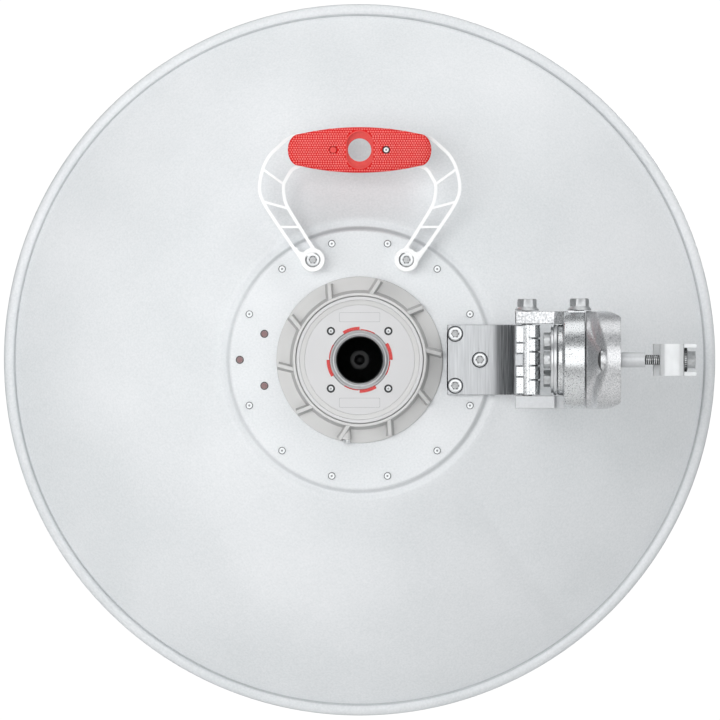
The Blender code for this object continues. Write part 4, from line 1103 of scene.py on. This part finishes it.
# The knuckle's cells are shot blasted between its sawn grooves, and bright where the tool has faced them. The
# blasting's grain of 0.2 mm is drawn at 1.3 mm, so that it shows
cast, tree, shader, spot = surface("Shot-blasted die-cast aluminium", "#D2D4D5", 0.34, 1)
sparkle = add(tree, "ShaderNodeTexNoise", {"Vector": spot, "Scale": 750, "Detail": 2, "Roughness": 0.7})
patch = add(tree, "ShaderNodeTexNoise", {"Vector": spot, "Scale": 120, "Detail": 2})
grit = add(tree, "ShaderNodeMapRange", {0: sparkle, 1: 0.35, 2: 0.65})
colour = add(tree, "ShaderNodeMix", {0: grit, 6: linear("#B0B2B4"), 7: linear("#F4F5F6")}, data_type="RGBA")
dull = add(tree, "ShaderNodeMapRange", {0: patch, 1: 0.3, 2: 0.7, 3: 0.28, 4: 0.42})
bump = add(tree, "ShaderNodeBump", {"Strength": 0.35, "Distance": 0.12 * MM, "Height": sparkle})
wire(shader, {"Base Color": colour.outputs[2], "Roughness": dull, "Normal": bump})

AT_PIVOT = Matrix.Translation(PIVOT)
outline = mm((4.5, -26.8), (8.6, -26.8), (8.6, 26.8), (4.5, 26.8))
knuckle = lathed("arm_knuckle_core", cast, rounded(outline, 0.35 * MM), AT_PIVOT, 96)
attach(knuckle, "dish")

matt_cast = mottled("Matt die-cast aluminium", "#D2D4D6", 0.5, 0.5, 500, 2, "#CACCCE", "#DADCDE")

# Two columns of cells stand on the core: five on the right, sawn apart but for a strip at their left, and
# four on the left with a small boss in their middle
faced, tree, shader, spot = surface("Faced die-cast aluminium", "#DCDEDF", 0.22, 1)
sparkle = add(tree, "ShaderNodeTexNoise", {"Vector": spot, "Scale": 950, "Detail": 2, "Roughness": 0.8})
grit = add(tree, "ShaderNodeMapRange", {0: sparkle, 1: 0.35, 2: 0.65, 3: 0.18, 4: 0.36})
specks = add(tree, "ShaderNodeMapRange", {0: sparkle, 1: 0.33, 2: 0.45})
tone = add(tree, "ShaderNodeMix", {0: specks, 6: linear("#8C8E90"), 7: linear("#E4E6E7")}, data_type="RGBA")
bump = add(tree, "ShaderNodeBump", {"Strength": 0.3, "Distance": 0.06 * MM, "Height": sparkle})
wire(shader, {"Roughness": grit, "Base Color": tone.outputs[2], "Normal": bump})

cells = bmesh.new()
edges = [-26.8 * MM] + [z + s * 0.5 * MM for z in sorted(GROOVES) for s in (-1, 1)] + [26.8 * MM]
# They stop at the pivot bolt's bore
right_half = mm((-56, 8)) + bow((PIVOT.x, 0), 4.6 * MM, 71, -71, 8)
right_half += mm((-56, -9.9), (-51.3, -9.9), (-48.8, -8))
right_half += mm((-47.6, -5.5), (-47.3, 0), (-47.4, 3.5), (-49, 7.6))
for low, high in zip(edges[::2], edges[1::2]):
    extruded(cells, right_half, low, high)
strip = mm((-58.3, -4.7), (-58.3, -9.9), (-55.7, -9.9), (-55.7, -4.7))
extruded(cells, strip, -26.8 * MM, 26.8 * MM)
bore_side = mm((-60.1, -4.3), (-62.2, -1), (-62.2, 2))
left_half = mm((-65.9, 2), (-65.9, -9.6), (-60.1, -9.6)) + bore_side
for low, high in ((-25.9, -13.5), (-12.6, -5.3), (5.3, 12.6), (13.5, 25.9)):
    extruded(cells, left_half, low * MM, high * MM)
cells = softened(finished("arm_knuckle_cells", cells, faced), 0.35 * MM, 3)
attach(cells, "dish")
outline = mm((-66.6, 2), (-66.6, -8.9), (-60.3, -8.9)) + bore_side[1:]
boss = prism("arm_knuckle_boss", matt_cast, outline, -4.6 * MM, 4.7 * MM)
softened(boss, 0.8 * MM, 3)
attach(boss, "dish")

arm_screws = [TO_DISH @ Matrix.Translation((x, -z, 0)) for x, z in ARM_SCREWS]
sockets("arm_screw_socket", arm_screws, -11.6 * MM)
for place, name in zip(arm_screws, ("arm_screw_upper", "arm_screw_middle", "arm_screw_lower")):
    screw = finished(name + "_cap", cap_screw(bmesh.new(), place, -5.6 * MM, 6 * MM, 5 * MM), zinc)
    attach(screw, "dish")
    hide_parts(name)

# The yoke: a die-cast ring that turns on the pole jaw's spigot, with two ears that hold the arm's knuckle
# on an upright pivot bolt. The ring is faced bright, and a second bolt on top of it locks the tilt.
TO_X = Matrix.Rotation(math.pi / 2, 4, "Y")
yoke = bmesh.new()
outline = mm((21.4, -34.3), (27, -34.3), (27, -29.6), (37.5, -29.6), (37.5, -12.9), (21.4, -12.9))
turned(yoke, rounded(outline, 1.6 * MM, 6), TO_X, 144)
pad = mm((-26.4, -8.1), (-13.1, -8.1), (-13.1, 8.1), (-26.4, 8.1))
extruded(yoke, pad, 33.5 * MM, 37.7 * MM)
# The upper ear is shot blasted and the lower one matt
half = mm((-36.2, 8.7), (-36.2, 4.6), (-26.6, 8.6))
outline = bow((-65.5 * MM, -7.4 * MM), 1.3 * MM, 270, 180, 4)
outline += bow((-65.5 * MM, 7.4 * MM), 1.3 * MM, 180, 90, 4)
outline += half + [(x, -y) for x, y in half[::-1]]
for name, low, skin in (("yoke_upper_ear", 27.6 * MM, cast), ("yoke_lower_ear", -37.3 * MM, matt_cast)):
    ear = prism(name, skin, outline, low, low + 9.7 * MM)
    softened(ear, 0.6 * MM)
    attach(ear, "yoke")
yoke = finished("yoke_casting", yoke, faced)
softened(yoke, 0.5 * MM)
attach(yoke, "yoke")
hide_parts("yoke")

# The dipped coat is thicker in some places than in others, in patches of 2.4 mm
zinc_flake = mottled("Zinc flake coated steel", "#C0C2C3", 0.42, 1, 420, 3, "#B2B4B5", "#E8EAEB")


def flange_bolt(shape, place, end, shaft):
    """Adds a hexagon bolt, its flange's underside at local zero, its head up and its shaft down to end."""
    outline = [(0, end), (shaft - 0.6 * MM, end), (shaft, end + 0.8 * MM), (shaft, 0)]
    outline += mm((9, 0), (9.1, 0.4), (9.1, 1.1), (8.8, 1.4), (7.3, 3.1), (7.5, 3.1, 6), (7.5, 8.2, 6))
    outline += mm((6.9, 9), (6.3, 9.1), (0, 9.1))
    return turned(shape, outline, place, 72)


for name, node, x, seat, end, shaft in (
    ("pivot_bolt_head", "pivot_bolt", PIVOT.x, 37.7 * MM, -74 * MM, 4 * MM),
    ("tilt_lock_bolt_head", "tilt_lock_bolt", -17.3 * MM, 38 * MM, -15.9 * MM, 3.4 * MM),
):
    place = Matrix.Translation((x, 0, seat)) @ Matrix.Rotation(math.radians(9), 4, "Z")
    bolt = finished(name, flange_bolt(bmesh.new(), place, end, shaft), zinc_flake)
    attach(bolt, "yoke")
    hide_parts(node)

# The pole jaw: a rough sand-textured aluminium casting. A round drum carries the yoke's ring, webs run out
# to the two bolt lugs, and the oval head is notched for the pole.
BOLT_Y = 41 * MM
DRUM_RADIUS = 37.4 * MM
FLARE = 16 * MM
rough_cast, tree, shader, spot = surface("Sand-textured cast aluminium", "#C9CBCC", 0.45, 1)
sparkle = add(tree, "ShaderNodeTexNoise", {"Vector": spot, "Scale": 900, "Detail": 3, "Roughness": 0.8})
grit = add(tree, "ShaderNodeMapRange", {0: sparkle, 1: 0.35, 2: 0.65})
colour = add(tree, "ShaderNodeMix", {0: grit, 6: linear("#B8BABC"), 7: linear("#FBFBFC")}, data_type="RGBA")
dull = add(tree, "ShaderNodeMapRange", {0: grit, 3: 0.28, 4: 0.48})
bump = add(tree, "ShaderNodeBump", {"Strength": 0.5, "Distance": 0.2 * MM, "Height": sparkle})
wire(shader, {"Base Color": colour.outputs[2], "Roughness": dull, "Normal": bump})

# The drum flares into the head, sooner at its top and bottom than in its middle, but not under the tilt
# lock bolt. The stations along it are in millimetres
start = -12.4
jaw = bmesh.new()
rings = []
stations = [(x, 1) for x in (start, -10.5, -8.5, -7, -5.5, -4, -2, -0.5, 1.5, 3.5)]
stations += [(5.5, 0.993), (8, 0.97), (11, 0.93), (13.4, 0.895), (14.4, 0.86)]
for x, height in stations:
    ring = []
    for i in range(96):
        t = math.tau * (i + 0.5) / 96
        y, z = DRUM_RADIUS * math.cos(t), DRUM_RADIUS * math.sin(t)
        share = min((x - start + 8 * math.sin(t) ** 2) / 17, 1)
        flare = FLARE * share * share * (3 - 2 * share) * min(max((x + 8) / 4, 0), 1)
        ring.append((x * MM, y + math.copysign(flare, y), math.copysign(min(abs(z), height * 37.5 * MM), z)))
    rings.append(ring)
loft(jaw, rings)
jaw = finished("pole_jaw_casting", jaw, rough_cast)
notch = mm((0, -6), (0, 6), (22.4, 44.9), (22.4, -44.9))
carve(jaw, prism("notch", rough_cast, notch, -60 * MM, 60 * MM))
web = bmesh.new()
for i in range(96):
    t = math.tau * i / 96
    web.verts.new((-12.2 * MM, 36.9 * MM * math.cos(t), 36.9 * MM * math.sin(t)))
for y in (-BOLT_Y, BOLT_Y):
    for x in (-1.5 * MM, 2.4 * MM):
        for i in range(48):
            t = math.tau * i / 48
            web.verts.new((x, y + 11.8 * MM * math.cos(t), 11.8 * MM * math.sin(t)))
hull = bmesh.ops.convex_hull(web, input=web.verts)
inside = [v for v in hull["geom_interior"] if isinstance(v, bmesh.types.BMVert)]
bmesh.ops.delete(web, geom=inside, context="VERTS")
outline = mm((0, -34.4), (21, -34.4), (21, -11), (0, -11))
turned(web, outline, TO_X, 96)
mesh = bpy.data.meshes.new("webs")
web.to_mesh(mesh)
web.free()
shape = bmesh.new()
shape.from_mesh(jaw.data)
shape.from_mesh(mesh)
shape.to_mesh(jaw.data)
shape.free()
outwards(jaw.data)
fuse = jaw.modifiers.new("fuse", "REMESH")
fuse.mode = "VOXEL"
fuse.voxel_size = 0.75 * MM
ease = jaw.modifiers.new("ease", "SMOOTH")
ease.iterations = 3
graph = bpy.context.evaluated_depsgraph_get()
solid = bpy.data.meshes.new_from_object(jaw.evaluated_get(graph))
jaw.modifiers.clear()
jaw.data = solid
# The bolt's head sits in a pocket that opens as a narrow lens at the side of the web
cutters = []
upright = Matrix.Rotation(math.pi / 2, 4, "X")
lens = bow((11.4 * MM, 0), 14.9 * MM, 141.5, 218.5, 16)
# Behind each lens a near-black lining paints the shade inside the pocket
pockets = bmesh.new()
for side in (-1, 1):
    cutters.append(prism("lens", rough_cast, lens, -side * BOLT_Y, -side * 70 * MM, upright))
    low, high = sorted((-side * BOLT_Y, -side * (BOLT_Y + 8.3 * MM)))
    extruded(pockets, [(min(x, -1.1 * MM) - 0.2 * MM, z) for x, z in lens], low, high, upright)
    place = Matrix.Translation((0, side * BOLT_Y, 0)) @ TO_X
    cutters.append(cylinder(rough_cast, 4.3 * MM, 0, 20 * MM, place))
carve(jaw, *cutters)
pockets = finished("pole_jaw_pockets", pockets, recess_shade)
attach(pockets, "clamp")
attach(jaw, "clamp")
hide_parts("pole_jaw")

# The retainer: a thin steel flange with a boss, on the spigot's end, held by six small hexagon bolts with
# their washers, which keeps the yoke's ring on.
outline = mm((0, -34.7), (27, -34.7), (27, -37.1), (25.4, -37.2), (25.4, -39.2), (0, -39.2))
flange = lathed("retainer_disc", zinc, rounded(outline, 0.4 * MM), TO_X, 128)
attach(flange, "clamp")
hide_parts("retainer_flange")
outline = mm(
    (0, -36.9), (7.1, -36.9), (7.2, -37.4), (7.2, -39.4), (7, -39.8), (6, -39.8), (6.6, -40.2, 6),
    (6.6, -44.3, 6), (6, -44.8), (0, -44.9)
)
bolt = lathed("small_bolt", zinc_flake, outline)
bolts = around("retainer_bolts", bolt, zinc_flake, 16.5 * MM, 6, 0, 60, TO_X, loose=12, seed=5)
bpy.data.objects.remove(bolt)
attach(bolts, "clamp")

# The clamp bolts: M8 flange bolts through the lugs, with plain sleeves over their shanks and the cut thread
# beyond, drawn near black.
tree, given, out = new_tree(
    "Screw thread",
    Float=["Length", "Pitch", "Core Radius", "Tooth"],
    Material=["Material"],
)
turns = add(tree, "ShaderNodeMath", {0: given["Length"], 1: given["Pitch"]}, operation="DIVIDE")
helix = add(
    tree,
    "GeometryNodeCurveSpiral",
    {
        "Resolution": 24,
        "Rotations": turns,
        "Start Radius": given["Core Radius"],
        "End Radius": given["Core Radius"],
        "Height": given["Length"],
    },
)
tooth = add(tree, "GeometryNodeCurvePrimitiveCircle", {"Resolution": 4, "Radius": given["Tooth"]})
thread = add(tree, "GeometryNodeCurveToMesh", {"Curve": helix, "Profile Curve": tooth})
close_tree(tree, thread, given["Material"], out)

dark_thread, shade_tree, shader, spot = surface("Near-black cut thread", "#3B3C3D", 0.35, 1)
thread_spots = add(shade_tree, "ShaderNodeTexNoise", {"Vector": spot, "Scale": 600, "Detail": 2})
gloss = add(shade_tree, "ShaderNodeMapRange", {0: thread_spots, 1: 0.3, 2: 0.7, 3: 0.25, 4: 0.5})
wire(shader, {"Roughness": gloss})

for side, end in ((-1, "rear"), (1, "front")):
    place = Matrix.Translation((0, side * BOLT_Y, 0)) @ TO_X
    outline = mm(
        (0, -3.4), (6.9, -3.4), (7.3, -3, 6), (7.5, -2, 6), (8.6, -1.3), (10.6, -1.2), (10.7, 0.3),
        (10.5, 0.5), (3.95, 0.6), (3.95, 32.5), (3.35, 33), (3.35, 71.2), (2.8, 71.8), (0, 71.8)
    )
    bolt = lathed("clamp_bolt_" + end + "_shank", zinc, outline, place, 72)
    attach(bolt, "clamp")
    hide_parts("clamp_bolt_" + end)
    values = {"Length": 38 * MM, "Pitch": 1.5 * MM, "Core Radius": 3.3 * MM, "Tooth": 0.6 * MM}
    values["Material"] = dark_thread
    thread = grown("clamp_thread_" + end, tree, values, place @ Matrix.Translation((0, 0, 33 * MM)))
    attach(thread, "clamp")
    outline = mm((4.3, 14.7), (5.8, 14.7), (5.8, 32.7), (4.3, 32.7))
    sleeve = lathed("sleeve_" + end + "_tube", matt_cast, rounded(outline, 0.4 * MM), place, 64)
    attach(sleeve, "clamp")
    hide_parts("sleeve_" + end)

# The moving jaw: an aluminium extrusion with a notch for the pole, cut to length and tumbled, and a channel
# at its back that keeps the two serrated flange nuts from turning.
tumbled, tree, shader, spot = surface("Tumbled aluminium extrusion", "#DCDEDF", 0.42, 0.6)
dents = add(tree, "ShaderNodeTexNoise", {"Vector": spot, "Scale": 260, "Detail": 3})
bump = add(tree, "ShaderNodeBump", {"Strength": 0.2, "Distance": 0.1 * MM, "Height": dents})
dull = add(tree, "ShaderNodeMapRange", {0: dents, 1: 0.3, 2: 0.7, 3: 0.34, 4: 0.5})
wire(shader, {"Normal": bump, "Roughness": dull})
half = (
    mm((52, 8), (39.4, 28), (39.4, 32), (43.9, 34))
    + bow((46.3 * MM, 48.6 * MM), 2.4 * MM, 180, 108, 8)
    + bow((53.25 * MM, 24.9 * MM), 28 * MM, 103, 77, 10)
    + bow((60.2 * MM, 48.6 * MM), 2.4 * MM, 72, 0, 8)
    + mm((62.7, 46), (62.7, 49), (72.1, 49))
)
outline = half + [(x, -y) for x, y in half[::-1]]
claw = prism("moving_jaw_extrusion", tumbled, outline, -12.2 * MM, 12.2 * MM)
channel = mm((62.7, -60), (80, -60), (80, 60), (62.7, 60))
cutters = [prism("channel", tumbled, channel, -9.4 * MM, 9.4 * MM)]
for side in (-1, 1):
    place = Matrix.Translation((0, side * BOLT_Y, 0)) @ TO_X
    cutters.append(cylinder(tumbled, 4.6 * MM, 30 * MM, 80 * MM, place))
carve(claw, *cutters)
softened(claw, 0.4 * MM)
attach(claw, "jaw")
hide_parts("moving_jaw")

# The gaps of each nut's serrations are near-black slivers of painted shade
outline = mm((-0.45, -7.8), (0.45, -7.8), (0.2, -9.1), (-0.2, -9.1))
tooth = prism("tooth", recess_shade, outline, 63.05 * MM, 64.9 * MM)
for side, end in ((-1, "rear"), (1, "front")):
    place = Matrix.Translation((0, side * BOLT_Y, 0)) @ TO_X @ Matrix.Rotation(math.radians(30), 4, "Z")
    outline = mm(
        (4.3, 63), (8.6, 63), (8.6, 64.4), (7.3, 65.4), (7.5, 65.4, 6), (7.5, 70.7, 6), (6.9, 71.3),
        (4.6, 71.3)
    )
    nut = lathed("nut_" + end + "_hexagon", zinc_flake, outline, place, 72)
    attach(nut, "jaw")
    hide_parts("nut_" + end)
    teeth = around("nut_" + end + "_serrations", tooth, recess_shade, 0, 36, 0, 10, place)
    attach(teeth, "jaw")
bpy.data.objects.remove(tooth)

# The studio: a white floor and surround, softboxes at the back, right and top that the metal mirrors, a key
# light with fills that it doesn't, and two lights on the far side for views of the front. The camera looks
# level at the back of the dish through a long lens.
CAMERA_DISTANCE = 24
RIM_PLANE = 0.167
PHOTO_WIDTH = 0.5565
paper, tree, shader, spot = surface("White paper floor", "#FFFFFF", 0.9)
fibres = add(tree, "ShaderNodeTexNoise", {"Vector": spot, "Scale": 40, "Detail": 2})
tone = add(tree, "ShaderNodeMix", {0: fibres, 6: linear("#FCFCFC"), 7: linear("#FFFFFF")}, data_type="RGBA")
# Where the lights don't reach, the floor still looks pale, but it sends no more light on to the dish
shader.inputs["Emission Color"].default_value = (1, 1, 1, 1)
sight = add(tree, "ShaderNodeLightPath").outputs["Is Camera Ray"]
glow = add(tree, "ShaderNodeMath", {0: sight, 1: 0.45}, operation="MULTIPLY")
wire(shader, {"Base Color": tone.outputs[2], "Emission Strength": glow})
sheet = [(-4, -4), (4, -4), (4, 4), (-4, 4)]
floor = prism("studio_floor", paper, sheet, -0.92, -0.9)

world = bpy.data.worlds.new("White studio")
bpy.context.scene.world = world
world.use_nodes = True
tree = world.node_tree
tree.nodes.clear()
seen = add(tree, "ShaderNodeBackground", {"Color": (1, 1, 1, 1), "Strength": 1.05})
path = add(tree, "ShaderNodeLightPath")
strength = add(tree, "ShaderNodeMapRange", {0: path.outputs["Is Glossy Ray"], 3: 0.1, 4: 0.3})
lit = add(tree, "ShaderNodeBackground", {"Color": linear("#F4F7FA"), "Strength": strength})
both = add(tree, "ShaderNodeMixShader", {0: path.outputs["Is Camera Ray"], 1: lit, 2: seen})
add(tree, "ShaderNodeOutputWorld", {"Surface": both})

for name, at, size, spread, power, diffuse, glossy in (
    ("front_softbox", (0.1, -2.6, 0.38), (3, 2.2), 180, 27, False, True),
    ("right_softbox", (2.2, -1.3, 0.38), (2.4, 2.2), 180, 10, True, True),
    ("top_softbox", (-0.1, -0.26, 2), (3, 1.3), 180, 12, True, True),
    ("near_left_key", (-0.55, -1.1, 0.2), (0.7, 0.7), 180, 6.5, True, False),
    ("right_fill", (2.2, -1.3, 0.38), (2.4, 2.2), 180, 27, True, False),
    ("top_right_fill", (0.9, -0.5, 2), (1.6, 1.2), 180, 16.5, True, False),
    ("left_fill", (-2.5, -1.4, 0.1), (2.2, 1.8), 180, 23.5, True, False),
    ("far_side_softbox", (0.1, 2.7, 0.3), (2, 1), 50, 2, True, True),
    ("far_side_fill", (0.1, 2.7, 0.3), (2, 1), 50, 6, True, False),
):
    light = bpy.data.lights.new(name, "AREA")
    light.shape = "RECTANGLE"
    light.size, light.size_y = size
    light.spread = math.radians(spread)
    light.energy = power
    lamp = bpy.data.objects.new(name, light)
    bpy.context.scene.collection.objects.link(lamp)
    lamp.location = at
    lamp.rotation_euler = (DISH_CENTRE - Vector(at)).to_track_quat("-Z", "Y").to_euler()
    lamp.visible_camera = False
    lamp.visible_diffuse = diffuse
    lamp.visible_glossy = glossy

camera = bpy.data.cameras.new("camera")
camera.sensor_width = 36
camera.lens = camera.sensor_width * (CAMERA_DISTANCE + RIM_PLANE) / PHOTO_WIDTH
camera.clip_end = 2 * CAMERA_DISTANCE
eye = bpy.data.objects.new("camera", camera)
bpy.context.scene.collection.objects.link(eye)
eye.location = (DISH_CENTRE.x + 0.3 * MM, -CAMERA_DISTANCE, -0.15 * MM)
eye.rotation_euler = (math.pi / 2, 0, 0)
bpy.context.scene.camera = eye
bpy.context.scene.view_settings.view_transform = "Standard"
